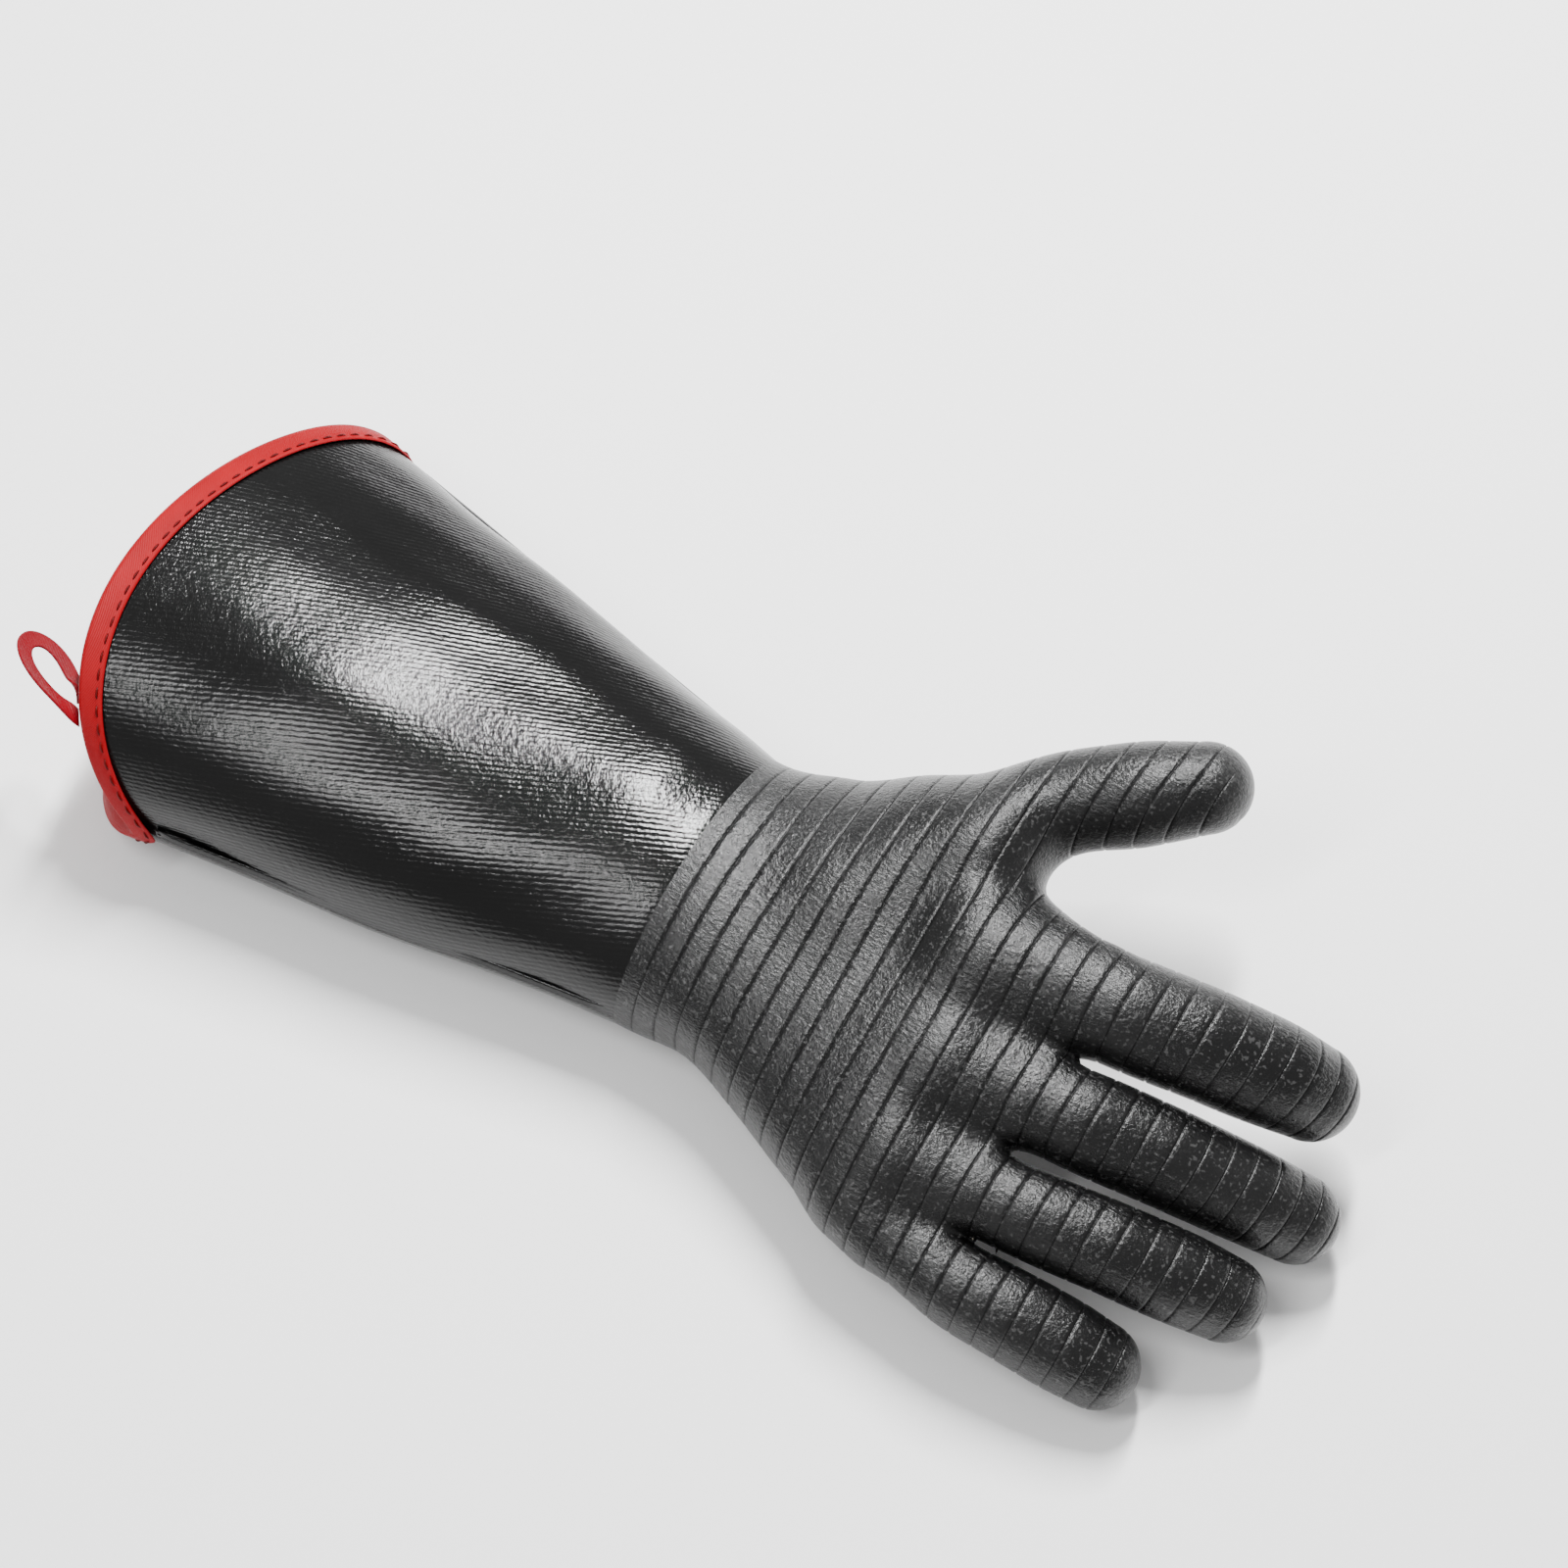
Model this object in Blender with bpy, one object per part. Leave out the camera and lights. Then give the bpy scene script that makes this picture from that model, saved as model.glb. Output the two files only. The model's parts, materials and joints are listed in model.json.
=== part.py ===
"""Heat resistant glove: a long-cuff barbecue glove for the right hand, lying palm down.

A wide gauntlet of glossy coated fabric is edged with a folded tape binding that holds a
hanging loop.  A dipped rubber hand follows it, with four fingers and a thumb.  Both are
lined with cotton.  The rubber is divided where it bends: stiff sleeves between the joints,
and a soft crease band round each joint.

Lengths are metres, angles are degrees.  +Y points to the fingertips, -X to the thumb and
+Z up.  Positions are given from the middle of the wrist line on the ground, and the finished
glove is then centred on its footprint.
"""

import math

import bmesh
import bpy
from mathutils import Matrix, Vector

MM = 0.001

# Walls, from the outside in
GAP = 0.3 * MM
SLEEVE_WALL = 1.6 * MM
SLEEVE_LINING = 1.0 * MM
RUBBER_WALL = 2.0 * MM
HAND_LINING = 1.4 * MM
LINING_INSET = RUBBER_WALL + GAP
HAND_CAVITY_INSET = LINING_INSET + HAND_LINING

# Gauntlet: a cone with a flattened belly, cut by a curved rim
BODY_SIDES = 32
SIDE_RIM_Y = -158 * MM
RIM_SKEW = 3.5 * MM
RIM_BULGE = 34.5 * MM
RIM_SWEEP = 4 * MM
RIM_TILT = 0.25
RIM_HALF_WIDTH = 76 * MM
RIM_HEIGHT = 72 * MM
RIM_CENTRE_X = -2.8 * MM
WRIST_HALF_WIDTH = 48 * MM
WRIST_CENTRE_X = 3 * MM
WRIST_HEIGHT = 60 * MM
WIDEST_Z = 26 * MM
BELLY_FLATNESS = 1.25
BELLY_LIFT = 2.4 * MM
LIFTED_RIM = 9.5 * MM
BELLY_START = 20 * MM
SLEEVE_SPANS = 4

# Binding, thread, seams and loop
TAPE = 0.8 * MM
BINDING_GAP = 0.7 * MM
BINDING_WIDTH = 8 * MM
THREAD = 0.4 * MM
THREAD_STATION = 6.6 * MM
SEAM_WIDTH = 2.6 * MM
SEAM_HEIGHT = 0.9 * MM
SEAM_TO_BINDING = 1.5 * MM
SEAM_END_Y = -2 * MM
LOOP_RIM_SIDE = 3
LOOP_SIDE_SHARE = 0.25
LOOP_WIDTH = 5.6 * MM
LOOP_TAPE = 0.9 * MM
LOOP_START = 2 * LOOP_TAPE
LOOP_LENGTH = 26 * MM
LOOP_HALF_OPENING = 9 * MM
LOOP_HALF_SPREAD = 3.5 * MM
LOOP_LEAN = 50
LOOP_OUTWARD = (0.22, -0.92, -0.33)
LOOP_POINTS = 20

# Wrist: a soft band between the gauntlet and the hand
WRIST_BAND_END_Y = 25 * MM

# Palm: y, centre x, centre z, half width, half thickness (millimetres), roll (degrees), and how
# far each millimetre towards the little finger falls back towards the wrist
PALM_SECTIONS = (
    (25, 1.3, 31.0, 50.0, 27.5, 2, 0),
    (45, 3.5, 32.5, 55.0, 26.0, 6, 0),
    (65, 10.5, 34.5, 57.0, 24.5, 10, 0),
    (85, 18.5, 37.5, 57.5, 22.5, 14, 0),
    (103, 23.0, 40.5, 58.0, 20.0, 17, 0),
    (114, 25.0, 41.0, 58.5, 17.0, 18, 0.08),
    (121, 26.0, 41.0, 54.5, 10.0, 18, 0.08),
)
PALM_FULLNESS = 2.3

# Digits
DIGIT_SIDES = 16
HAND_ROLL = 17
JOINT_CLEARANCE = 1.2 * MM
STUB_LENGTH = 28 * MM
STUB_TAPER = 0.75
DOME_ANGLES = (0, 30, 58, 80)
CUTTER_OVERRUN = 12 * MM
PALMAR = (-math.sin(math.radians(HAND_ROLL)), 0, -math.cos(math.radians(HAND_ROLL)))
THUMB_PALMAR = (0.75, 0, -0.65)
FINGER_JOINTS = ("knuckle", "middle", "end")
FINGER_SEGMENTS = ("proximal", "middle", "tip")
THUMB_JOINTS = ("base", "end")
THUMB_SEGMENTS = ("proximal", "tip")

# Each bend's travel from the straight finger: bent back, bent forward
BEND_TRAVEL = {
    "knuckle": (-10, 50),
    "middle": (-4, 65),
    "end": (-4, 50),
    "base": (-12, 32),
}

# Heading is towards +X from +Y, slope is upwards, bends are how far each joint is curled
DIGITS = {
    "index": {
        "root": (-15.5, 133, 54.5),
        "heading": -9,
        "slope": -2,
        "lengths": (26, 24, 27),
        "bends": (8, 12, 14),
        "radii": (16.3, 16.3, 15.6, 14.4),
    },
    "middle": {
        "root": (16.6, 137, 44),
        "heading": -8,
        "slope": -4,
        "lengths": (28, 27, 31),
        "bends": (9, 11, 8),
        "radii": (15.0, 15.0, 14.5, 13.8),
    },
    "ring": {
        "root": (45.5, 137, 35.3),
        "heading": -8,
        "slope": -3,
        "lengths": (26, 24, 26),
        "bends": (4, 11, 10),
        "radii": (13.6, 14.0, 14.0, 13.2),
    },
    "little": {
        "root": (71.9, 127, 25.5),
        "heading": -1,
        "slope": -4,
        "lengths": (20, 18.5, 23),
        "bends": (4, 5, 7),
        "radii": (12.5, 13.4, 13.6, 13.0),
    },
    "thumb": {
        "root": (-60, 86, 58),
        "heading": -35.5,
        "slope": 14,
        "lengths": (28, 31),
        "bends": (2, 3),
        "radii": (15.0, 14.8, 13.0),
    },
}

# Thumb mount on the palm: centre, half width across the web and half thickness (millimetres)
THUMB_ROOT_SECTIONS = (
    ((-16, 46, 37), 24.0, 19.0),
    ((-35, 58, 43.5), 26.0, 19.0),
    ((-48, 74, 51), 25.0, 17.5),
)

MATERIALS = {
    "coated_fabric": ((0.012, 0.012, 0.014), 0.25),
    "dipped_rubber": ((0.025, 0.025, 0.026), 0.55),
    "cotton_lining": ((0.72, 0.68, 0.60), 0.9),
    "red_tape": ((0.80, 0.03, 0.04), 0.45),
    "red_thread": ((0.70, 0.03, 0.04), 0.6),
}


def reset_scene():
    for leftover in list(bpy.data.objects):
        bpy.data.objects.remove(leftover)


def make_collection(name):
    collection = bpy.data.collections.new(name)
    bpy.context.scene.collection.children.link(collection)
    return collection


def make_material(name, colour, roughness):
    material = bpy.data.materials.new(name)
    material.use_nodes = True
    shader = material.node_tree.nodes["Principled BSDF"]
    shader.inputs["Base Color"].default_value = (*colour, 1)
    shader.inputs["Roughness"].default_value = roughness
    return material


def blend(start, end, share):
    return start + (end - start) * share


def add_rows(mesh, rings):
    return [[mesh.verts.new(point) for point in ring] for ring in rings]


def add_skin(mesh, rows):
    """Skin a run of equal rings, with every four-sided patch split along the same diagonal."""
    for near, far in zip(rows, rows[1:]):
        for i in range(len(near)):
            j = (i + 1) % len(near)
            mesh.faces.new((near[i], near[j], far[j]))
            mesh.faces.new((near[i], far[j], far[i]))


def add_cap(mesh, row):
    """Close a ring with two half faces that meet on the line from its first to its middle point."""
    half = len(row) // 2
    mesh.faces.new(row[: half + 1])
    mesh.faces.new(row[half:] + row[:1])


def make_object(name, mesh):
    bmesh.ops.recalc_face_normals(mesh, faces=mesh.faces)
    data = bpy.data.meshes.new(name)
    mesh.to_mesh(data)
    mesh.free()
    return bpy.data.objects.new(name, data)


def solid(name, rings):
    """Solid body through a run of rings."""
    mesh = bmesh.new()
    rows = add_rows(mesh, rings)
    add_skin(mesh, rows)
    add_cap(mesh, rows[0])
    add_cap(mesh, rows[-1])
    return make_object(name, mesh)


def hoop(name, rings):
    """Solid body through a run of rings that returns to its start."""
    mesh = bmesh.new()
    rows = add_rows(mesh, rings)
    add_skin(mesh, rows + rows[:1])
    return make_object(name, mesh)


def tube(name, outer_rings, inner_rings):
    """Hollow sleeve between two skins, open at both ends."""
    mesh = bmesh.new()
    outer, inner = add_rows(mesh, outer_rings), add_rows(mesh, inner_rings)
    for rows in (outer, inner, [outer[0], inner[0]], [outer[-1], inner[-1]]):
        add_skin(mesh, rows)
    return make_object(name, mesh)


def cup(name, outer_rings, inner_rings):
    """Hollow sleeve between two skins, open at its first ring and closed at its last."""
    mesh = bmesh.new()
    outer, inner = add_rows(mesh, outer_rings), add_rows(mesh, inner_rings)
    for rows in (outer, inner, [outer[0], inner[0]]):
        add_skin(mesh, rows)
    add_cap(mesh, outer[-1])
    add_cap(mesh, inner[-1])
    return make_object(name, mesh)


def finish_part(part, material, parent, collection):
    """Give a part its material and hang it from its parent without moving it."""
    part.data.materials.append(material)
    collection.objects.link(part)
    part.parent = parent
    part.data.transform(parent.matrix_world.inverted())
    return part


def make_axis(name, frame, parent, collection):
    """An empty on a hinge: +X along the hinge, +Y along the piece it carries."""
    empty = bpy.data.objects.new(name, None)
    empty.empty_display_size = 10 * MM
    collection.objects.link(empty)
    empty.parent = parent
    empty.matrix_world = frame
    bpy.context.view_layer.update()
    return empty


def side_normal(start, end):
    """Inward normal of one side of an outline that runs anticlockwise."""
    along = (end - start).normalized()
    return Vector((-along.y, along.x))


def inset_outline(outline, depth):
    """Move every side of a closed flat outline inwards by the same depth."""
    moved = []
    for i, point in enumerate(outline):
        before = side_normal(outline[i - 1], point)
        after = side_normal(point, outline[(i + 1) % len(outline)])
        corner = before + after
        moved.append(point + corner * (2 * depth / corner.length_squared))
    return moved


# ---------------------------------------------------------------- gauntlet


def gauntlet_outline(y, inset, floor=0):
    """Cross-section of the gauntlet at one distance from the wrist, higher on the little side."""
    share = y / SIDE_RIM_Y
    half_width = blend(WRIST_HALF_WIDTH, RIM_HALF_WIDTH, share)
    height = blend(WRIST_HEIGHT, RIM_HEIGHT, y / (SIDE_RIM_Y - RIM_BULGE))
    centre = blend(WRIST_CENTRE_X, RIM_CENTRE_X, share)
    outline = []
    for i in range(BODY_SIDES):
        angle = math.tau * i / BODY_SIDES
        rise = math.sin(angle)
        tilt = 1 + RIM_TILT * share * math.cos(angle)
        if rise >= 0:
            z = WIDEST_Z + (height - WIDEST_Z) * rise * tilt
        else:
            z = max(floor, WIDEST_Z + (WIDEST_Z - floor) * BELLY_FLATNESS * rise)
        outline.append(Vector((centre + half_width * math.cos(angle), z)))
    return inset_outline(outline, inset)


def rim_y(i):
    """The rim reaches back in the middle of the top and belly, more so on the little side."""
    angle = math.tau * i / BODY_SIDES
    side, rise = math.cos(angle), abs(math.sin(angle))
    return SIDE_RIM_Y + RIM_SKEW * side - RIM_BULGE * rise - 2 * RIM_SWEEP * side * rise


def gauntlet_point(i, y, inset, floor=0):
    point = gauntlet_outline(y, inset, floor)[i]
    return Vector((point.x, y, point.y))


def rim_ring(station, inset):
    """Ring at a fixed distance from the rim, where the belly is lifted to clear the binding."""
    floor = BELLY_LIFT if station <= LIFTED_RIM else 0
    return [gauntlet_point(i, rim_y(i) + station, inset, floor) for i in range(BODY_SIDES)]


def sleeve_ring(share, inset):
    """Ring between the last station near the rim and the wrist end."""
    ys = [blend(rim_y(i) + BELLY_START, 0, share) for i in range(BODY_SIDES)]
    return [gauntlet_point(i, ys[i], inset) for i in range(BODY_SIDES)]


def sleeve_rings(inset):
    rings = [rim_ring(station, inset) for station in (0, LIFTED_RIM)]
    rings += [sleeve_ring(k / SLEEVE_SPANS, inset) for k in range(SLEEVE_SPANS + 1)]
    return rings


def gauntlet_shell():
    return tube("gauntlet_shell", sleeve_rings(0), sleeve_rings(SLEEVE_WALL))


def gauntlet_lining():
    outer = SLEEVE_WALL + GAP
    return tube("gauntlet_lining", sleeve_rings(outer), sleeve_rings(outer + SLEEVE_LINING))


def cuff_binding():
    """Tape folded over the rim, with one leg outside the shell and one inside the lining."""
    wall = SLEEVE_WALL + GAP + SLEEVE_LINING
    low, high = -BINDING_GAP, wall + BINDING_GAP
    profile = (
        (BINDING_WIDTH, low - TAPE),
        (low - TAPE, low - TAPE),
        (low - TAPE, high + TAPE),
        (BINDING_WIDTH, high + TAPE),
        (BINDING_WIDTH, high),
        (low, high),
        (low, low),
        (BINDING_WIDTH, low),
    )
    return hoop("cuff_binding", [rim_ring(*corner) for corner in profile])


def binding_thread():
    """The sewing thread that lies round the outside of the binding."""
    low = -(BINDING_GAP + TAPE + GAP)
    profile = (
        (THREAD_STATION, low),
        (THREAD_STATION, low - THREAD),
        (THREAD_STATION + THREAD, low - THREAD),
        (THREAD_STATION + THREAD, low),
    )
    return hoop("binding_thread", [rim_ring(*corner) for corner in profile])


def side_seam(name, i):
    """Welt along one side of the gauntlet, where its two panels are joined."""
    outward = 1 if i == 0 else -1
    start = rim_y(i) + BINDING_WIDTH + SEAM_TO_BINDING
    rings = []
    for y in (start, start / 2, SEAM_END_Y):
        surface = gauntlet_point(i, y, 0)
        inner = surface + Vector((outward * GAP, 0, 0))
        outer = inner + Vector((outward * SEAM_HEIGHT, 0, 0))
        half = Vector((0, 0, SEAM_WIDTH / 2))
        rings.append([inner - half, outer - half, outer + half, inner + half])
    return solid(name, rings)


def loop_frame():
    """Frame where the loop leaves the binding: +X along the rim, +Y away from it."""
    middle = (SLEEVE_WALL + GAP + SLEEVE_LINING) / 2
    edge = -(BINDING_GAP + TAPE + GAP)
    start, end = rim_ring(edge, middle)[LOOP_RIM_SIDE : LOOP_RIM_SIDE + 2]
    rim_line = (end - start).normalized()
    outward = Vector(LOOP_OUTWARD)
    outward = (outward - rim_line * outward.dot(rim_line)).normalized()
    frame = Matrix((rim_line, outward, rim_line.cross(outward))).transposed().to_4x4()
    frame.translation = blend(start, end, LOOP_SIDE_SHARE)
    return frame


def loop_point(angle, depth):
    """Point on the outline of the teardrop, moved into it by the depth."""
    lean = math.radians(LOOP_LEAN)
    along = LOOP_START + (LOOP_LENGTH - depth) * (1 - math.cos(angle)) / 2
    across = (LOOP_HALF_OPENING - depth) * math.sin(angle) * math.sin(angle / 2)
    spread = LOOP_HALF_SPREAD * math.cos(angle / 2)
    return Vector((along * math.sin(lean) + spread, along * math.cos(lean), -across))


def hanging_loop(frame):
    """A band of tape bent into a teardrop that leans along the rim, its ends side by side."""
    half = Vector((LOOP_WIDTH / 2, 0, 0))
    rings = []
    for k in range(LOOP_POINTS + 1):
        angle = math.tau * k / LOOP_POINTS
        outer, inner = loop_point(angle, 0), loop_point(angle, LOOP_TAPE)
        corners = (outer - half, outer + half, inner + half, inner - half)
        rings.append([frame @ corner for corner in corners])
    return solid("hanging_loop", rings)


# ---------------------------------------------------------------- hand


def palm_ring(section, inset, y=None):
    """One cross-section of the palm: a full oval rolled towards the little finger."""
    at_y, centre_x, centre_z, half_width, half_thickness, roll, fall = section
    centre = Vector((centre_x * MM, at_y * MM if y is None else y, centre_z * MM))
    power = 2 / PALM_FULLNESS
    tilt = Matrix.Rotation(math.radians(roll), 3, "Y")
    ring = []
    for i in range(BODY_SIDES):
        c = math.cos(math.tau * i / BODY_SIDES)
        s = math.sin(math.tau * i / BODY_SIDES)
        x = (half_width * MM - inset) * math.copysign(abs(c) ** power, c)
        z = (half_thickness * MM - inset) * math.copysign(abs(s) ** power, s)
        ring.append(centre + tilt @ Vector((x, -fall * x, z)))
    return ring


def palm_rings(inset, overrun):
    """Palm sections from the wrist to the webs between the fingers."""
    end_y = PALM_SECTIONS[-1][0] * MM - inset
    rings = []
    if overrun:
        rings.append(palm_ring(PALM_SECTIONS[0], inset, PALM_SECTIONS[0][0] * MM - overrun))
    rings += [palm_ring(section, inset) for section in PALM_SECTIONS[:-1]]
    rings.append(palm_ring(PALM_SECTIONS[-1], inset, end_y))
    return rings


def wrist_band(name, outer, inner):
    """Soft band from the gauntlet's end to the start of the palm."""
    start = [gauntlet_outline(0, depth) for depth in (outer, inner)]
    near = [[Vector((p.x, GAP, p.y)) for p in outline] for outline in start]
    far_y = WRIST_BAND_END_Y - GAP
    far = [palm_ring(PALM_SECTIONS[0], depth, far_y) for depth in (outer, inner)]
    return tube(name, [near[0], far[0]], [near[1], far[1]])


def circle(radius):
    """Points of a circle in the local XZ plane, from +X round by +Z."""
    turns = [math.tau * i / DIGIT_SIDES for i in range(DIGIT_SIDES)]
    return [Vector((radius * math.cos(a), 0, radius * math.sin(a))) for a in turns]


def cut_back(z, travel):
    """How far a sleeve ends from its joint at one height, so that it can bend freely."""
    back, forward = travel
    half_bend = -back / 2 if z > 0 else forward / 2
    return JOINT_CLEARANCE + abs(z) * math.tan(math.radians(half_bend))


def end_ring(frame, radius, travel, side, trim=0):
    """Ring cut to the bend's wedge, before (-1) or after (+1) the joint at the frame's origin."""
    points = circle(radius)
    for point in points:
        point.y = side * (cut_back(point.z, travel) - trim)
    return [frame @ point for point in points]


def flat_ring(frame, radius, y):
    return [frame @ (point + Vector((0, y, 0))) for point in circle(radius)]


def tip_rings(frame, radius, length, inset):
    """Rounded end of a digit: rings from the start of the dome to its small flat pole."""
    start = length - radius
    reach = radius - inset
    angles = [math.radians(a) for a in DOME_ANGLES]
    return [
        flat_ring(frame, reach * math.cos(a), start + reach * math.sin(a)) for a in angles
    ]


class Digit:
    """One finger or the thumb: its joints, their frames at rest and its radii."""

    def __init__(self, name):
        spec = DIGITS[name]
        self.name = name
        self.is_thumb = name == "thumb"
        self.joints = THUMB_JOINTS if self.is_thumb else FINGER_JOINTS
        self.segments = THUMB_SEGMENTS if self.is_thumb else FINGER_SEGMENTS
        self.lengths = [length * MM for length in spec["lengths"]]
        self.radii = [radius * MM for radius in spec["radii"]]
        self.bends = spec["bends"]
        self.travel = [BEND_TRAVEL[joint] for joint in self.joints]
        self.before = []
        self.frames = []
        frame = self.root_frame(spec)
        for bend, length in zip(self.bends, self.lengths):
            self.before.append(frame)
            bent = frame @ Matrix.Rotation(-math.radians(bend), 4, "X")
            self.frames.append(bent)
            frame = bent @ Matrix.Translation((0, length, 0))

    def root_frame(self, spec):
        """Frame of the stub: +Y along it, +Z to the back of the digit."""
        heading = math.radians(spec["heading"])
        slope = math.radians(spec["slope"])
        along = Vector((math.sin(heading), math.cos(heading), math.tan(slope))).normalized()
        back = -Vector(THUMB_PALMAR if self.is_thumb else PALMAR)
        back = (back - along * back.dot(along)).normalized()
        frame = Matrix((along.cross(back), along, back)).transposed().to_4x4()
        frame.translation = Vector(spec["root"]) * MM
        return frame

    def middle_ring(self, k, inset):
        """Ring on the plane that halves the bend at joint k."""
        half = math.radians(self.bends[k]) / 2
        frame = self.before[k] @ Matrix.Rotation(-half, 4, "X")
        ring = circle(self.radii[k] - inset)
        for point in ring:
            point.z /= math.cos(half)
        return [frame @ point for point in ring]

    def start_ring(self, k, inset):
        return end_ring(self.frames[k], self.radii[k] - inset, self.travel[k], 1)

    def stop_ring(self, k, inset):
        """End of segment k, just before the next joint."""
        radius = self.radii[k + 1] - inset
        return end_ring(self.before[k + 1], radius, self.travel[k + 1], -1)


def segment_shell(digit, k):
    """Stiff sleeve between two joints."""
    name = f"{digit.name}_{digit.segments[k]}_shell"
    skins = [[digit.start_ring(k, d), digit.stop_ring(k, d)] for d in (0, RUBBER_WALL)]
    return tube(name, *skins)


def tip_shell(digit):
    """Closed cup over the end of a digit."""
    frame, length, radius = digit.frames[-1], digit.lengths[-1], digit.radii[-1]
    skins = []
    for inset in (0, RUBBER_WALL):
        rings = [digit.start_ring(len(digit.frames) - 1, inset)]
        skins.append(rings + tip_rings(frame, radius, length, inset))
    return cup(f"{digit.name}_tip_shell", *skins)


def crease_band(digit, k):
    """Soft rubber round joint k, which fills the wedge between two sleeves."""
    skins = []
    for inset in (0, RUBBER_WALL):
        radius = digit.radii[k] - inset
        travel = digit.travel[k]
        before = end_ring(digit.before[k], radius, travel, -1, trim=GAP)
        after = end_ring(digit.frames[k], radius, travel, 1, trim=GAP)
        skins.append([before, digit.middle_ring(k, inset), after])
    return tube(f"{digit.name}_{digit.joints[k]}_crease", *skins)


def digit_lining(digit):
    """Cotton finger of the lining, from the first joint to the tip."""
    skins = []
    for inset in (LINING_INSET, HAND_CAVITY_INSET):
        start = digit.radii[0] - inset
        rings = [end_ring(digit.before[0], start, digit.travel[0], -1, trim=GAP)]
        rings += [digit.middle_ring(k, inset) for k in range(len(digit.frames))]
        rings += tip_rings(digit.frames[-1], digit.radii[-1], digit.lengths[-1], inset)
        skins.append(rings)
    return cup(f"{digit.name}_lining", *skins)


def oval_ring(frame, section, inset):
    """Oval across a digit's direction, moved forwards by the inset like the skin it belongs to."""
    centre, half_width, half_thickness = section
    place = frame.copy()
    place.translation = Vector(centre) * MM + frame.col[1].xyz * inset
    ring = circle(1)
    for point in ring:
        point.x *= half_width * MM - inset
        point.z *= half_thickness * MM - inset
    return [place @ point for point in ring]


def stub(digit, name, inset, overrun):
    """Start of a digit on the palm, up to its first joint or past it by the overrun."""
    frame, radius = digit.before[0], digit.radii[0] - inset
    if digit.is_thumb:
        rings = [oval_ring(frame, section, inset) for section in THUMB_ROOT_SECTIONS]
    else:
        start = digit.radii[0] * STUB_TAPER - inset
        rings = [flat_ring(frame, start, inset - STUB_LENGTH)]
    rings.append(end_ring(frame, radius, digit.travel[0], -1))
    if overrun:
        rings.append(flat_ring(frame, radius, overrun))
    return solid(name, rings)


def add_boolean(part, tool, operation):
    cut = part.modifiers.new(tool.name, "BOOLEAN")
    cut.operation = operation
    cut.solver = "EXACT"
    cut.object = tool


def hide_tool(tool, parent, cutters):
    """Keep a solid that only shapes another one out of the finished glove."""
    cutters.objects.link(tool)
    tool.hide_render = True
    tool.display_type = "WIRE"
    tool.parent = parent
    tool.data.transform(parent.matrix_world.inverted())


def hand_body(name, digits, inset, overrun, parent, cutters):
    """The palm joined with the five stubs, as one solid."""
    body = solid(name, palm_rings(inset, overrun))
    for digit in digits:
        tool = stub(digit, f"{name}_{digit.name}", inset, overrun)
        hide_tool(tool, parent, cutters)
        add_boolean(body, tool, "UNION")
    return body


def hollow_hand(name, digits, outer, inner, parent, cutters):
    """Palm with finger stubs, hollowed out and open at the wrist and at each stub."""
    part = hand_body(name, digits, outer, 0, parent, cutters)
    cavity = hand_body(f"{name}_cavity", digits, inner, CUTTER_OVERRUN, parent, cutters)
    hide_tool(cavity, parent, cutters)
    add_boolean(part, cavity, "DIFFERENCE")
    return part


# ---------------------------------------------------------------- assembly


def build_gauntlet(root, materials, parts):
    red, coated, cotton = (materials[m] for m in ("red_tape", "coated_fabric", "cotton_lining"))
    finish_part(gauntlet_shell(), coated, root, parts)
    finish_part(gauntlet_lining(), cotton, root, parts)
    finish_part(cuff_binding(), red, root, parts)
    finish_part(binding_thread(), materials["red_thread"], root, parts)
    finish_part(side_seam("little_side_seam", 0), coated, root, parts)
    finish_part(side_seam("thumb_side_seam", BODY_SIDES // 2), coated, root, parts)
    frame = loop_frame()
    axis = make_axis("loop_axis", frame, root, parts)
    finish_part(hanging_loop(frame), red, axis, parts)


def build_hand(root, digits, materials, parts, cutters):
    rubber, cotton = materials["dipped_rubber"], materials["cotton_lining"]
    frame = Matrix.Translation((0, WRIST_BAND_END_Y / 2, WRIST_HEIGHT / 2))
    hand = make_axis("wrist_axis", frame, root, parts)
    finish_part(wrist_band("wrist_band", 0, RUBBER_WALL), rubber, hand, parts)
    lining = wrist_band("wrist_lining", LINING_INSET, HAND_CAVITY_INSET)
    finish_part(lining, cotton, hand, parts)
    shell = hollow_hand("hand_shell", digits, 0, RUBBER_WALL, hand, cutters)
    finish_part(shell, rubber, hand, parts)
    depths = (LINING_INSET, HAND_CAVITY_INSET)
    finish_part(hollow_hand("hand_lining", digits, *depths, hand, cutters), cotton, hand, parts)
    return hand


def build_digit(digit, hand, materials, parts):
    rubber = materials["dipped_rubber"]
    parent = hand
    last = len(digit.frames) - 1
    for k, joint in enumerate(digit.joints):
        axis = make_axis(f"{digit.name}_{joint}_axis", digit.frames[k], parent, parts)
        finish_part(crease_band(digit, k), rubber, axis, parts)
        shell = tip_shell(digit) if k == last else segment_shell(digit, k)
        finish_part(shell, rubber, axis, parts)
        if k == 0:
            finish_part(digit_lining(digit), materials["cotton_lining"], axis, parts)
        parent = axis


def centre_on_footprint(root, parts):
    """Put the middle of the glove's footprint at the origin, with its lowest point at z = 0."""
    bpy.context.view_layer.update()
    depsgraph = bpy.context.evaluated_depsgraph_get()
    points = []
    for part in parts.objects:
        if part.type == "MESH":
            evaluated = part.evaluated_get(depsgraph)
            points += [part.matrix_world @ vertex.co for vertex in evaluated.data.vertices]
    low = [min(point[i] for point in points) for i in range(3)]
    high = [max(point[i] for point in points) for i in range(3)]
    root.location = (-(low[0] + high[0]) / 2, -(low[1] + high[1]) / 2, -low[2])
    bpy.context.view_layer.update()


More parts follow.
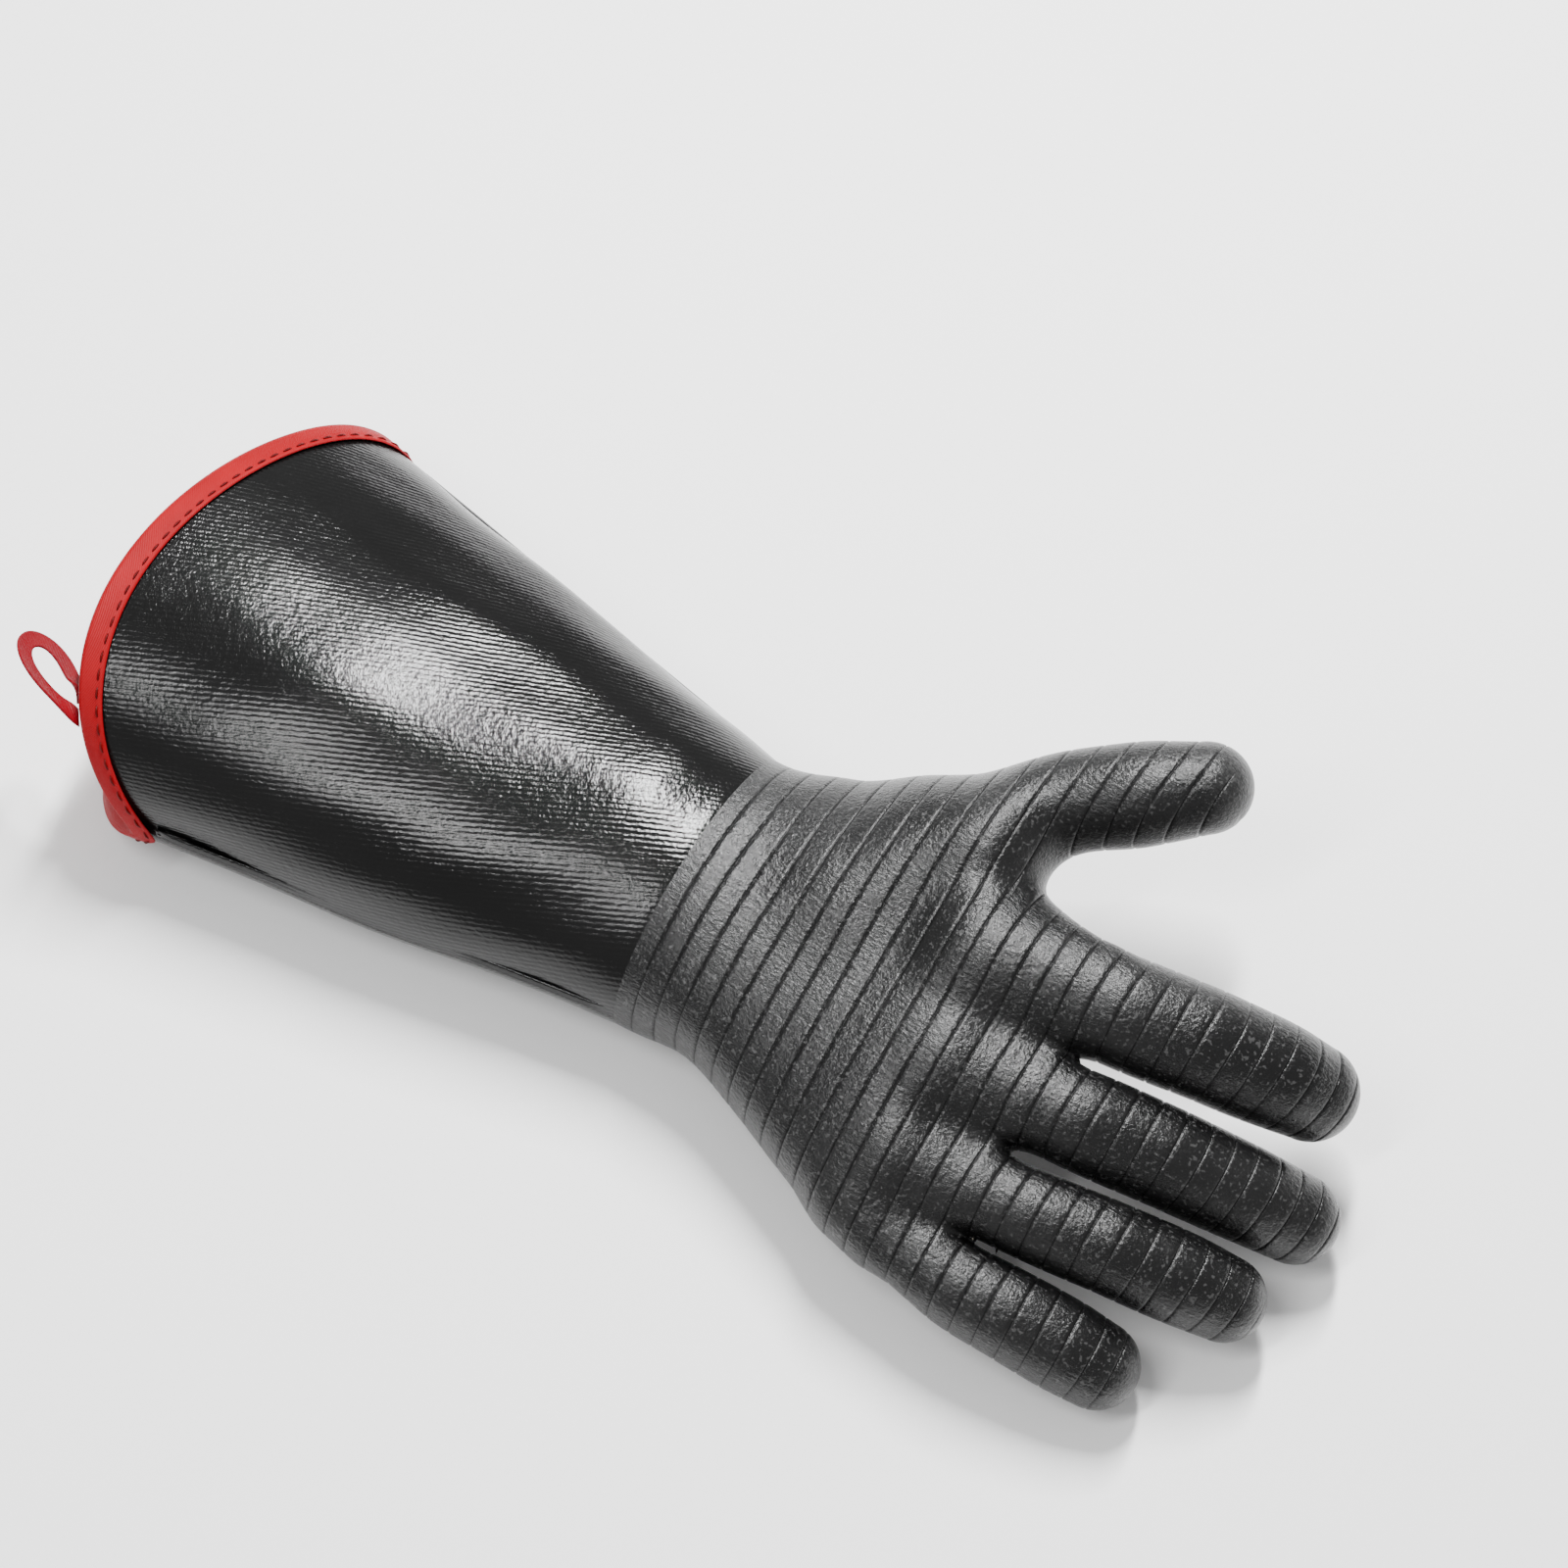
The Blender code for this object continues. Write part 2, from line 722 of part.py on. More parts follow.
def main():
    reset_scene()
    parts = make_collection("heat_resistant_glove")
    cutters = make_collection("cutters")
    materials = {name: make_material(name, *look) for name, look in MATERIALS.items()}
    root = bpy.data.objects.new("glove", None)
    parts.objects.link(root)
    digits = [Digit(name) for name in DIGITS]
    build_gauntlet(root, materials, parts)
    hand = build_hand(root, digits, materials, parts, cutters)
    for digit in digits:
        build_digit(digit, hand, materials, parts)
    centre_on_footprint(root, parts)


main()
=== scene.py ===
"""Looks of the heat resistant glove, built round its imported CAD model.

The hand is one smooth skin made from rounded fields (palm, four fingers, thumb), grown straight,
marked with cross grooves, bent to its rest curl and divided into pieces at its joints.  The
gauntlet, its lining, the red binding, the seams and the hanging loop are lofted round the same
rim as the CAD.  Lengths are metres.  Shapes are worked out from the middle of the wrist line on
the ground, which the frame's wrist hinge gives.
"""

import json
import math

import bmesh
import bpy
import numpy as np
from mathutils import Matrix, Vector


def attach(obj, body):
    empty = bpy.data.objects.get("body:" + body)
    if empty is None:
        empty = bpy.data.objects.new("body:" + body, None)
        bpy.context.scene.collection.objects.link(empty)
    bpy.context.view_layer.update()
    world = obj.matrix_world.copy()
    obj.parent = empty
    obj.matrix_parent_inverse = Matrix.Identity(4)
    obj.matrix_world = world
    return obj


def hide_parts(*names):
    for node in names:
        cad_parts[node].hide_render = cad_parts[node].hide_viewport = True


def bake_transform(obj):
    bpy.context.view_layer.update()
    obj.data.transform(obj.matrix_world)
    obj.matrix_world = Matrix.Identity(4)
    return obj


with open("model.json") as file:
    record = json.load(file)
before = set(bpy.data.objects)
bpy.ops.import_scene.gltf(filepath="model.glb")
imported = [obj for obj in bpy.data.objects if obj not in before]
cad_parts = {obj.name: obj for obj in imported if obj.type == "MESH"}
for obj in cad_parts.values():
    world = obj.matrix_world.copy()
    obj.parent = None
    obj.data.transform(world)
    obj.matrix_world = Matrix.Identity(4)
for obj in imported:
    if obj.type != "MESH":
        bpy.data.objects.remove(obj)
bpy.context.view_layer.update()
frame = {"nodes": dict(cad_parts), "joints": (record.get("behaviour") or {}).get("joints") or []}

MM = 0.001
HINGES = {hinge["name"]: hinge for hinge in frame["joints"]}
WRIST_HINGE = np.array((0, 12.5, 30)) * MM
ORIGIN = np.array(HINGES["wrist_bend"]["pos_m"]) - WRIST_HINGE

# Rubber, cotton and fabric walls
RUBBER_WALL = 2.0 * MM
SLEEVE_WALL = 1.6 * MM
LINING_WALL = 1.0 * MM
GAP = 0.3 * MM

# Palm: y, centre x, centre z, half width, half thickness (millimetres) and roll (degrees)
PALM_SECTIONS = (
    (0, 3.0, 30.0, 48.0, 29.5, 0),
    (25, 1.3, 31.0, 50.0, 27.5, 2),
    (45, 3.5, 32.5, 55.0, 26.0, 6),
    (65, 10.5, 34.5, 57.0, 24.5, 10),
    (85, 18.5, 37.5, 57.5, 22.5, 14),
    (96, 21.5, 39.5, 57.5, 18.0, 16),
    (106, 23.5, 40.5, 56.0, 12.5, 17),
    (114, 25.0, 41.0, 51.0, 9.0, 18),
    (121, 26.0, 41.0, 42.0, 6.0, 18),
)
PALM_FULLNESS = 2.3
PALM_FALL = 0.08
PALM_FALL_LENGTH = 28 * MM
THUMB_ROOT_SECTIONS = (
    ((-16, 46, 37), 24.0, 19.0),
    ((-35, 58, 43.5), 26.0, 19.0),
    ((-48, 74, 51), 25.0, 17.5),
)
FLATNESS = 0.97

# Where each finger's ridge begins on the back of the hand, from the finger's straight line:
# distance before the knuckle, across, up and radius (millimetres)
RIDGE_STARTS = {
    "index": (44, -2, 0, 13.0),
    "middle": (38, 0, 0, 11.0),
    "ring": (38, 0, 0, 10.0),
    "little": (36, -6, -2, 7.0),
}
# How each digit is fuller than its CAD tube: shift across, shift to its back and growth (mm)
FULLNESS = {
    "index": (0.0, 0, 0.2),
    "middle": (-0.2, 0, -0.3),
    "ring": (0.5, 0, -0.5),
    "little": (0, 0, 0),
    "thumb": (-0.8, 2.0, 1.2),
}
PALM_FILLET = 15 * MM
THUMB_FILLET = 20 * MM
WEB_FILLET = 6 * MM
FINGER_FILLET = 0.6 * MM
WEB_START, WEB_END = 112 * MM, 127 * MM
FINGERS = ("index", "middle", "ring", "little")
FINGER_JOINTS = ("knuckle", "middle", "end")
THUMB_JOINTS = ("base", "end")
# Degrees that each joint bends from straight to its limit
FULL_CURL = {"knuckle": 50, "middle": 65, "end": 50, "base": 32}
# Stretches of the skin that turn smoothly at a joint, and where the palm's own piece ends
BEND_HALF_ZONE = 9.5 * MM
ZONE_SHARE = 0.42
THUMB_BASE_ZONE = (-2 * MM, 17 * MM)
PALM_END = 118 * MM

# Cross grooves
GROOVE_PITCH = 7.5 * MM
GROOVE_START = 6 * MM
GROOVE_DEPTH = 0.38 * MM
GROOVE_WIDTH = 0.28 * MM
# Share of a tip's wear where the grooves are worn away, and over which they fade
GROOVE_WORN_AT = 0.95
GROOVE_FADE = 0.3

# Length at the end of each digit where the grooves wear away and the colour is painted paler
TIP_WEAR = 16 * MM

# Grid that the hand's skin is found on, its room round the fingers and the palm's widest place
CELL = 1.35 * MM
GRID_MARGIN = 20 * MM
END_MARGIN = 2 * MM
PALM_SIDE = 82 * MM
TOUCH = 0.01 * MM
GROOVE_LAYERS = (-0.7 * MM, -0.38 * MM, -0.12 * MM, 0.12 * MM, 0.38 * MM, 0.7 * MM)
PLAIN_LAYERS = 4

# Gauntlet
BODY_SIDES = 192
SIDE_RIM_Y = -158 * MM
RIM_SKEW = 3.5 * MM
RIM_BULGE = 34.5 * MM
RIM_SWEEP = 4 * MM
RIM_ROUNDING = 0.004
RIM_TILT = 0.25
RIM_HALF_WIDTH = 76 * MM
RIM_HEIGHT = 72 * MM
RIM_CENTRE_X = -2.8 * MM
WRIST_HALF_WIDTH = 48 * MM
WRIST_CENTRE_X = 3 * MM
WRIST_HEIGHT = 60 * MM
WIDEST_Z = 26 * MM
BELLY_FLATNESS = 1.25
BELLY_LIFT = 2.4 * MM
BELLY_START = 20 * MM
BELLY_CORNER = 5 * MM
# Dents in the shell: (height, size, random seed) of each, and the stretches that they fade over
DENTS = ((0.6 * MM, 55 * MM, 3), (0.3 * MM, 22 * MM, 8))
DENT_STRETCH = (1.0, 0.45, 1.0)
DENT_FADE_RIM = 40 * MM
DENT_FADE_WRIST = 25 * MM
DENT_FADE_FLOOR = 14 * MM
DENT_FLOOR = 4 * MM
SLEEVE_STEP = 2 * MM
LINING_STEP = 3 * MM
LINING_PUFF = 0.35 * MM
LINING_PUFF_SIZE = 17 * MM
LINING_STRETCH = (1.0, 0.5, 1.0)
# The shell runs on under the dipped rubber and sinks below it
SLEEVE_OVERLAP = 4 * MM
SLEEVE_SINK = 0.8 * MM

# Binding, stitches and loop
TAPE = 0.8 * MM
BINDING_GAP = 0.7 * MM
BINDING_WIDTH = 7.2 * MM
FOLD_START = 0.5 * MM
FOLD_REACH = 2.0 * MM
FOLD_INSIDE = 1.2 * MM
LEG_ROWS = 11
FOLD_ROWS = 9
TAPE_EDGE_LENGTH = 0.8 * MM
TAPE_EDGE_SHARE = 0.45
TAPE_FLAT_STEP = 1.2 * MM
STITCH_STATION = 5.6 * MM
STITCH_PITCH = 5.4 * MM
STITCH_LENGTH = 3.4 * MM
STITCH_RADIUS = 0.4 * MM
STITCH_END_SHARE = 0.55
STITCH_SINK = 0.25 * MM
STITCH_BOW = 0.35 * MM
STITCH_RINGS = 5
STITCH_SIDES = 6
# How far the stitches draw the tape in: everywhere along their line, and more at each stitch
PULL_REACH = 1.3 * MM
PULL_DEPTH = 0.18 * MM
PULL_WAVE = 0.14 * MM
LOOP_WIDTH = 5.6 * MM
LOOP_TAPE = 0.9 * MM
LOOP_START = 1.6 * MM
LOOP_LENGTH = 26.2 * MM
LOOP_HALF_OPENING = 9 * MM
LOOP_HALF_SPREAD = 3.5 * MM
LOOP_LEAN = math.radians(50)
LOOP_TWIST = math.radians(84)
LOOP_TWIST_SPAN = 1.3
LOOP_STEPS = 64
# Outline of the loop's tape, across its half width and through its thickness
LOOP_PROFILE = (
    (-1, 0.15), (-0.93, 0), (-0.75, 0.12), (0.75, 0.12), (0.93, 0),
    (1, 0.15), (1, 0.85), (0.93, 1), (-0.93, 1), (-1, 0.85),
)

# Textures; the wave node turns through this many radians over one unit
WAVE_NODE_TURNS = 20
RIB_PITCH = 1.65 * MM
KNIT_PITCH = 1.4 * MM
TAPE_WEAVE_PITCH = 0.7 * MM
RIB_TURN = math.radians(-63)
TAPE_WEAVE_TURN = math.radians(35)

# Colours
COATING = ((0.002, 0.002, 0.002), (0.0035, 0.0035, 0.0035))
RUBBER = ((0.0022, 0.0022, 0.0023), (0.005, 0.005, 0.0051))
RUBBER_SPECK = (0.055, 0.055, 0.055)
# Paler grey painted over the tips of the digits
RUBBER_PALE_TIP = (0.04, 0.04, 0.04)
# Painted shade laid in the bottoms of the cross grooves
RUBBER_GROOVE_SHADE = (0.0015, 0.0015, 0.0015)
COTTON = ((0.42, 0.38, 0.31), (0.55, 0.51, 0.43))
BINDING_RED = ((0.21, 0.0, 0.003), (0.26, 0.0, 0.004))
LOOP_RED = ((0.13, 0.0, 0.004), (0.18, 0.0, 0.005))
THREAD_RED = ((0.06, 0.0002, 0.0005), (0.09, 0.0003, 0.0007))
FLOOR_WHITE = ((0.92, 0.92, 0.92), (0.95, 0.95, 0.95))

# Side seams: millimetres across them and above the shell, from one side to the other
SEAM_PROFILE = (
    (-2.0, -0.35), (-1.4, 0.05), (-1.0, 0.6), (-0.5, 0.05),
    (0.5, 0.05), (1.0, 0.6), (1.4, 0.05), (2.0, -0.35),
)
SEAM_SUNK = -0.35
SEAM_BACK = 1.2 * MM
SEAM_GAP = 1.0 * MM
SEAM_ROWS = 80
SEAM_START_FADE = 6 * MM
SEAM_END_FADE = 12 * MM
SEAM_END_HEIGHT = 0.2
SEAM_SIDES_UP = 2

# Camera and lights: metres, watts, and directions from what they are aimed at
CAMERA_AZIMUTH = math.radians(121)
CAMERA_ELEVATION = math.radians(62)
CAMERA_DISTANCE = 1.3
CAMERA_LENS = 99.45
CAMERA_AIM_RIGHT = 24.1 * MM
CAMERA_AIM_UP = 28.5 * MM
LIGHT_DISTANCE = 1.3
LIGHT_AIM_HEIGHT = 0.03
KEY_LIGHT = {"direction": (-0.49, -0.14, 0.87), "size": (0.11, 0.6), "power": 50}
SECOND_LIGHT = {"direction": (0.37, -0.14, 0.86), "size": (0.1, 0.6), "power": 9}
SKY_STRENGTH = 0.62
FLOOR_HALF_SIZE = 4
FLOOR_DROP = 0.1 * MM


# ---- small tools


def smooth_step(x):
    """Smooth rise from 0 to 1 while x goes from 0 to 1."""
    x = np.clip(x, 0, 1)
    return x * x * (3 - 2 * x)


def mix(start, end, share):
    return start + (end - start) * share


def unit(v):
    return v / np.linalg.norm(v)


def turned(points, pivot, axis, angles):
    """Points turned about an axis through the pivot, each by its own angle."""
    p = points - pivot
    c, s = np.cos(angles)[:, None], np.sin(angles)[:, None]
    along = (p @ axis)[:, None] * axis
    return pivot + p * c + np.cross(axis, p) * s + along * (1 - c)


def smooth_table(keys, rows):
    """A function that runs smoothly through rows of values at rising keys."""
    keys, rows = np.array(keys, float), np.array(rows, float)
    slopes = np.gradient(rows, keys, axis=0)

    def at(x):
        x = np.clip(x, keys[0], keys[-1])
        i = np.clip(np.searchsorted(keys, x) - 1, 0, len(keys) - 2)
        span = (keys[i + 1] - keys[i])[:, None]
        t = (x - keys[i])[:, None] / span
        ends = rows[i] * (1 + 2 * t) * (1 - t) ** 2 + rows[i + 1] * t * t * (3 - 2 * t)
        bow = slopes[i] * t * (1 - t) ** 2 + slopes[i + 1] * t * t * (t - 1)
        return ends + bow * span

    return at


def merged(a, b, fillet):
    """Union of two fields with a rounded fillet where they meet."""
    share = np.clip(0.5 + 0.5 * (b - a) / fillet, 0, 1)
    return b + (a - b) * share - fillet * share * (1 - share)


def common(a, b, fillet):
    """Overlap of two fields with a rounded corner where they meet."""
    return -merged(-a, -b, fillet)


def full_oval(x, z, a, b, power):
    """Rough signed distance to an oval with half sizes a and b, fuller as the power rises."""
    u, v = np.abs(x / a) + 1e-6, np.abs(z / b) + 1e-6
    g = (u**power + v**power) ** (1 / power)
    slope = g ** (1 - power) * np.hypot(u ** (power - 1) / a, v ** (power - 1) / b)
    return (g - 1) / slope


def egg(parts, radii):
    """Rough signed distance to an ellipsoid."""
    scaled = [part / radius for part, radius in zip(parts, radii)]
    g = np.sqrt(sum(s * s for s in scaled)) + 1e-6
    slope = np.sqrt(sum((s / radius) ** 2 for s, radius in zip(scaled, radii))) / g
    return (g - 1) / np.maximum(slope, 1e-3)


def waves(points, size, seed, count=6):
    """Smooth noise between about -1 and 1, as a sum of sine waves of about this size."""
    random = np.random.default_rng(seed)
    total = np.zeros(len(points))
    for _ in range(count):
        direction = unit(random.normal(size=points.shape[1]))
        length = size * random.uniform(0.7, 1.5)
        total += np.sin(points @ direction * math.tau / length + random.uniform(0, math.tau))
    return total / math.sqrt(count)


def unit_rows(vectors):
    return vectors / np.linalg.norm(vectors, axis=1)[:, None]


def add_object(name, data):
    made = bpy.data.objects.new(name, data)
    bpy.context.scene.collection.objects.link(made)
    return made


def node_points(name):
    """Corners of a CAD node, measured from the wrist line."""
    return np.array([v.co for v in frame["nodes"][name].data.vertices]) - ORIGIN


# ---- hand: fields


class Digit:
    """A finger or the thumb, read from its CAD hinges and shells."""

    def __init__(self, name):
        self.name = name
        self.is_thumb = name == "thumb"
        joints = THUMB_JOINTS if self.is_thumb else FINGER_JOINTS
        hinges = [HINGES[f"{name}_{joint}_bend"] for joint in joints]
        self.bodies = ["hand"] + [hinge["child"] for hinge in hinges]
        self.creases = [f"{name}_{joint}_crease" for joint in joints]
        self.shells = [f"{body}_shell" for body in self.bodies[1:]]
        self.across = -unit(np.array(hinges[0]["axis"]))
        self.joints = [np.array(hinge["pos_m"]) - ORIGIN for hinge in hinges]
        self.root = self.joints[0]
        self.bends = [
            math.radians(FULL_CURL[joint] - hinge["range_deg"][1])
            for joint, hinge in zip(joints, hinges)
        ]
        self.set_directions()
        self.set_sections()
        self.set_zones()

    def set_directions(self):
        """Direction of each segment at rest, and of the whole digit when it is straight."""
        runs = [unit(end - start) for start, end in zip(self.joints, self.joints[1:])]
        self.along = turned(runs[0][None], 0, self.across, np.array(self.bends[:1]))[0]
        self.runs = [self.along] + runs
        last = turned(runs[-1][None], 0, self.across, -np.array(self.bends[-1:]))[0]
        self.runs.append(last)
        self.back = np.cross(self.across, self.along)

    def set_sections(self):
        """Table of the digit's ovals along its length: centre x, centre z and half sizes."""
        lengths = [np.linalg.norm(b - a) for a, b in zip(self.joints, self.joints[1:])]
        tip = node_points(self.shells[-1]) - self.joints[-1]
        reach = tip @ self.runs[-1]
        lengths.append(reach.max())
        dome = np.abs(tip @ self.across)[reach > 0.3 * reach.max()].max()
        self.starts = np.concatenate([[0], np.cumsum(lengths)])
        radii = [
            np.abs((node_points(crease) - joint) @ self.across).max()
            for crease, joint in zip(self.creases, self.joints)
        ]
        shift, lift, growth = (length * MM for length in FULLNESS[self.name])
        keys = list(self.starts[:-1]) + [self.starts[-1] - dome - growth]
        rows = [(shift, lift, r + growth, (r + growth) * FLATNESS) for r in radii + [dome]]
        if self.is_thumb:
            for centre, half_width, half_thickness in reversed(THUMB_ROOT_SECTIONS):
                x, t, z = self.local(np.array([centre]) * MM)[0]
                keys.insert(0, t)
                rows.insert(0, (x, z + lift / 2, half_width * MM, half_thickness * MM + lift / 2))
        else:
            before, x, z, radius = (length * MM for length in RIDGE_STARTS[self.name])
            keys.insert(0, -before)
            rows.insert(0, (x, z, radius, radius))
        self.first, self.last = keys[0], keys[-1]
        self.section = smooth_table(keys, rows)

    def set_zones(self):
        """Stretch along the straight digit where each joint bends it, and the cuts between."""
        lengths = np.diff(self.starts)
        half = min(BEND_HALF_ZONE, ZONE_SHARE * lengths[:-1].min())
        self.zones = [(start - half, start + half) for start in self.starts[:-1]]
        if self.is_thumb:
            self.zones[0] = THUMB_BASE_ZONE
        self.cuts = [(a[1] + b[0]) / 2 for a, b in zip(self.zones, self.zones[1:])]

    def local(self, points):
        return (points - self.root) @ np.array([self.across, self.along, self.back]).T

    def field(self, points):
        x, t, z = self.local(points).T
        held = np.clip(t, self.first, self.last)
        centre_x, centre_z, a, b = self.section(held).T
        return egg((x - centre_x, t - held, z - centre_z), (a, a, b))

    def curl(self, points):
        """Bend points on the straight digit to its rest curl."""
        t = self.local(points)[:, 1]
        for start, (low, high), bend in reversed(list(zip(self.starts, self.zones, self.bends))):
            share = smooth_step((t - low) / (high - low))
            pivot = self.root + self.along * start
            points = turned(points, pivot, self.across, -bend * share)
        return points


palm_section = smooth_table(
    [row[0] * MM for row in PALM_SECTIONS],
    [[length * MM for length in row[1:5]] + [math.radians(row[5])] for row in PALM_SECTIONS],
)


def sleeve_end_field(points):
    """The gauntlet's outline at the wrist line, as a field."""
    x, z = points[:, 0] - WRIST_CENTRE_X, points[:, 2] - WIDEST_Z
    below = WIDEST_Z * BELLY_FLATNESS
    rise = np.where(z > 0, WRIST_HEIGHT - WIDEST_Z, below)
    oval = full_oval(x, z, WRIST_HALF_WIDTH, rise, 2)
    return common(oval, -points[:, 2], BELLY_CORNER)


def palm_field(points):
    near_end = smooth_step((points[:, 1] - PALM_END) / PALM_FALL_LENGTH + 1)
    y = points[:, 1] + PALM_FALL * np.clip(points[:, 0], 0, None) * near_end
    centre_x, centre_z, a, b, roll = palm_section(y).T
    dx, dz = points[:, 0] - centre_x, points[:, 2] - centre_z
    c, s = np.cos(roll), np.sin(roll)
    palm = full_oval(dx * c - dz * s, dx * s + dz * c, a, b, PALM_FULLNESS)
    past = np.clip(y - PALM_SECTIONS[-1][0] * MM, 0, None)
    palm = np.where(past > 0, np.hypot(np.clip(palm, 0, None), past), palm)
    share = smooth_step(points[:, 1] / (2 * WRIST_HINGE[1]))
    return mix(sleeve_end_field(points), palm, share)


def hand_field(points, digits):
    fields = [digit.field(points) for digit in digits]
    web = smooth_step((WEB_END - points[:, 1]) / (WEB_END - WEB_START))
    fillet = mix(FINGER_FILLET, WEB_FILLET, web)
    fingers = fields[0]
    for other in fields[1:-1]:
        fingers = merged(fingers, other, fillet)
    palm = merged(palm_field(points), fields[-1], THUMB_FILLET)
    return merged(palm, fingers, PALM_FILLET)


# ---- hand: skin


def groove_centres(end):
    """Places of the cross grooves along the hand."""
    count = int((end - GROOVE_START) / GROOVE_PITCH) + 1
    return [GROOVE_START + GROOVE_PITCH * k for k in range(count)]


def grid_lines(low, high):
    """Even grid lines along one side of the hand's box."""
    return np.linspace(low, high, int((high - low) / CELL) + 2)


def groove_lines(end):
    """Grid lines along the hand: close together at each groove, so that its shape is held."""
    lines = [-CELL / 2, CELL / 2]
    for centre in groove_centres(end):
        first = centre + GROOVE_LAYERS[0]
        lines += list(np.linspace(lines[-1], first, PLAIN_LAYERS + 2)[1:-1])
        lines += [centre + offset for offset in GROOVE_LAYERS]
    return np.array(lines + [end])


def sample_field(lines, digits):
    """The hand's field at every grid point, one layer across the hand at a time."""
    xs, ys, zs = lines
    x, z = np.meshgrid(xs, zs, indexing="ij")
    values = np.empty((len(xs), len(ys), len(zs)))
    for j, y in enumerate(ys):
        points = np.stack([x.ravel(), np.full(x.size, y), z.ravel()], 1)
        values[:, j, :] = hand_field(points, digits).reshape(x.shape)
    return values


CUBE_CORNERS = np.array([(i, j, k) for i in (0, 1) for j in (0, 1) for k in (0, 1)])


def cell_points(lines, values, cells):
    """Middle of the crossings on the twelve edges of each cell."""
    total, count = np.zeros((len(cells), 3)), np.zeros(len(cells))
    for a in CUBE_CORNERS:
        for axis in range(3):
            if a[axis]:
                continue
            b = a + np.eye(3, dtype=int)[axis]
            start, end = cells + a, cells + b
            va, vb = values[tuple(start.T)], values[tuple(end.T)]
            crossed = (va < 0) != (vb < 0)
            share = np.where(crossed, va / np.where(crossed, va - vb, 1), 0)[:, None]
            pa = np.stack([lines[n][start[:, n]] for n in range(3)], 1)
            pb = np.stack([lines[n][end[:, n]] for n in range(3)], 1)
            total += np.where(crossed[:, None], mix(pa, pb, share), 0)
            count += crossed
    return total / count[:, None]


def surface_net(lines, values):
    """Vertices and four-sided faces of the surface where a sampled field is zero."""
    inside = values < 0
    n = [size - 1 for size in values.shape]
    whole, some = np.ones(n, bool), np.zeros(n, bool)
    for i, j, k in CUBE_CORNERS:
        corner = inside[i : n[0] + i, j : n[1] + j, k : n[2] + k]
        whole &= corner
        some |= corner
    cells = np.argwhere(some & ~whole)
    index = np.full(n, -1)
    index[tuple(cells.T)] = np.arange(len(cells))
    faces = []
    for axis in range(3):
        sides = [(axis + 1) % 3, (axis + 2) % 3]
        u, v = np.eye(3, dtype=int)[sides]
        start = inside.take(range(n[axis]), axis)
        end = inside.take(range(1, n[axis] + 1), axis)
        for flip in (False, True):
            crossing = (start & ~end) if not flip else (~start & end)
            edges = np.argwhere(crossing)
            place = edges[:, sides]
            edges = edges[((place > 0) & (place < np.take(n, sides))).all(1)]
            ring = [edges - u - v, edges - v, edges, edges - u]
            quads = np.stack([index[tuple(cell.T)] for cell in ring], 1)
            faces.append(quads[:, ::-1] if flip else quads)
    return cell_points(lines, values, cells), np.concatenate(faces)


def settle(points, field, steps=3, reach=0.05 * MM):
    """Move points straight onto the surface of a field."""
    for _ in range(steps):
        slope = np.zeros_like(points)
        for axis in range(3):
            offset = np.eye(3)[axis] * reach
            slope[:, axis] = (field(points + offset) - field(points - offset)) / (2 * reach)
        length = np.maximum((slope**2).sum(1), 1e-3)[:, None]
        points = points - slope * (field(points)[:, None] / length).clip(-CELL, CELL)
    return points


def straight_skin(digits):
    """The hand's skin with straight digits: vertices and faces."""
    tips = np.array([digit.root + digit.along * digit.starts[-1] for digit in digits])
    low_x = tips[:, 0].min() - GRID_MARGIN
    high_x = max(tips[:, 0].max(), PALM_SIDE) + GRID_MARGIN / 2
    top = tips[:, 2].max() + GRID_MARGIN
    end = tips[:, 1].max() + END_MARGIN
    lines = (grid_lines(low_x, high_x), groove_lines(end), grid_lines(-END_MARGIN, top))
    points, faces = surface_net(lines, sample_field(lines, digits))
    at_wrist = points[:, 1] < CELL * 0.4
    points = settle(points, lambda p: hand_field(p, digits))
    points[at_wrist, 1] = 0
    return points, faces


def nearest_digit(points, digits):
    """Number of the digit that each point is nearest to."""
    return np.argmin([digit.field(points) for digit in digits], 0)


def owner_digit(points, digits):
    """Number of the digit that each point lies on, or -1 for the palm."""
    nearest = nearest_digit(points, digits)
    thumb = digits[-1]
    before_thumb = thumb.local(points)[:, 1] < thumb.zones[0][0] - TOUCH
    before_fingers = points[:, 1] < PALM_END - TOUCH
    on_palm = np.where(nearest == len(digits) - 1, before_thumb, before_fingers)
    return np.where(on_palm, -1, nearest)


def cut_planes(digits):
    """Planes between the pieces: the digit's number (None for the fingers' roots), place, normal."""
    planes = [(None, Vector((0, PALM_END, 0)), Vector((0, 1, 0)))]
    for n, digit in enumerate(digits):
        cuts = list(digit.cuts)
        if digit.is_thumb:
            cuts.append(digit.zones[0][0])
        for cut in cuts:
            planes.append((n, Vector(digit.root + digit.along * cut), Vector(digit.along)))
    return planes


def cut_skin(points, faces, digits):
    """Cut the skin across at every boundary between two pieces."""
    mesh = bmesh.new()
    vertices = [mesh.verts.new(point) for point in points]
    for face in faces.tolist():
        mesh.faces.new([vertices[i] for i in face])
    thumb = len(digits) - 1
    for n, place, normal in cut_planes(digits):
        centres = np.array([face.calc_center_median() for face in mesh.faces])
        nearest = nearest_digit(centres, digits)
        near = np.abs((centres - np.array(place)) @ np.array(normal)) < 3 * CELL
        near &= (nearest != thumb) if n is None else (nearest == n)
        chosen = [face for face, use in zip(mesh.faces, near) if use]
        parts = set(chosen)
        for face in chosen:
            parts.update(face.edges)
            parts.update(face.verts)
        bmesh.ops.bisect_plane(mesh, geom=list(parts), dist=1e-6, plane_co=place, plane_no=normal)
    mesh.verts.index_update()
    points = np.array([vertex.co for vertex in mesh.verts])
    faces = [[vertex.index for vertex in face.verts] for face in mesh.faces]
    mesh.free()
    return points, faces


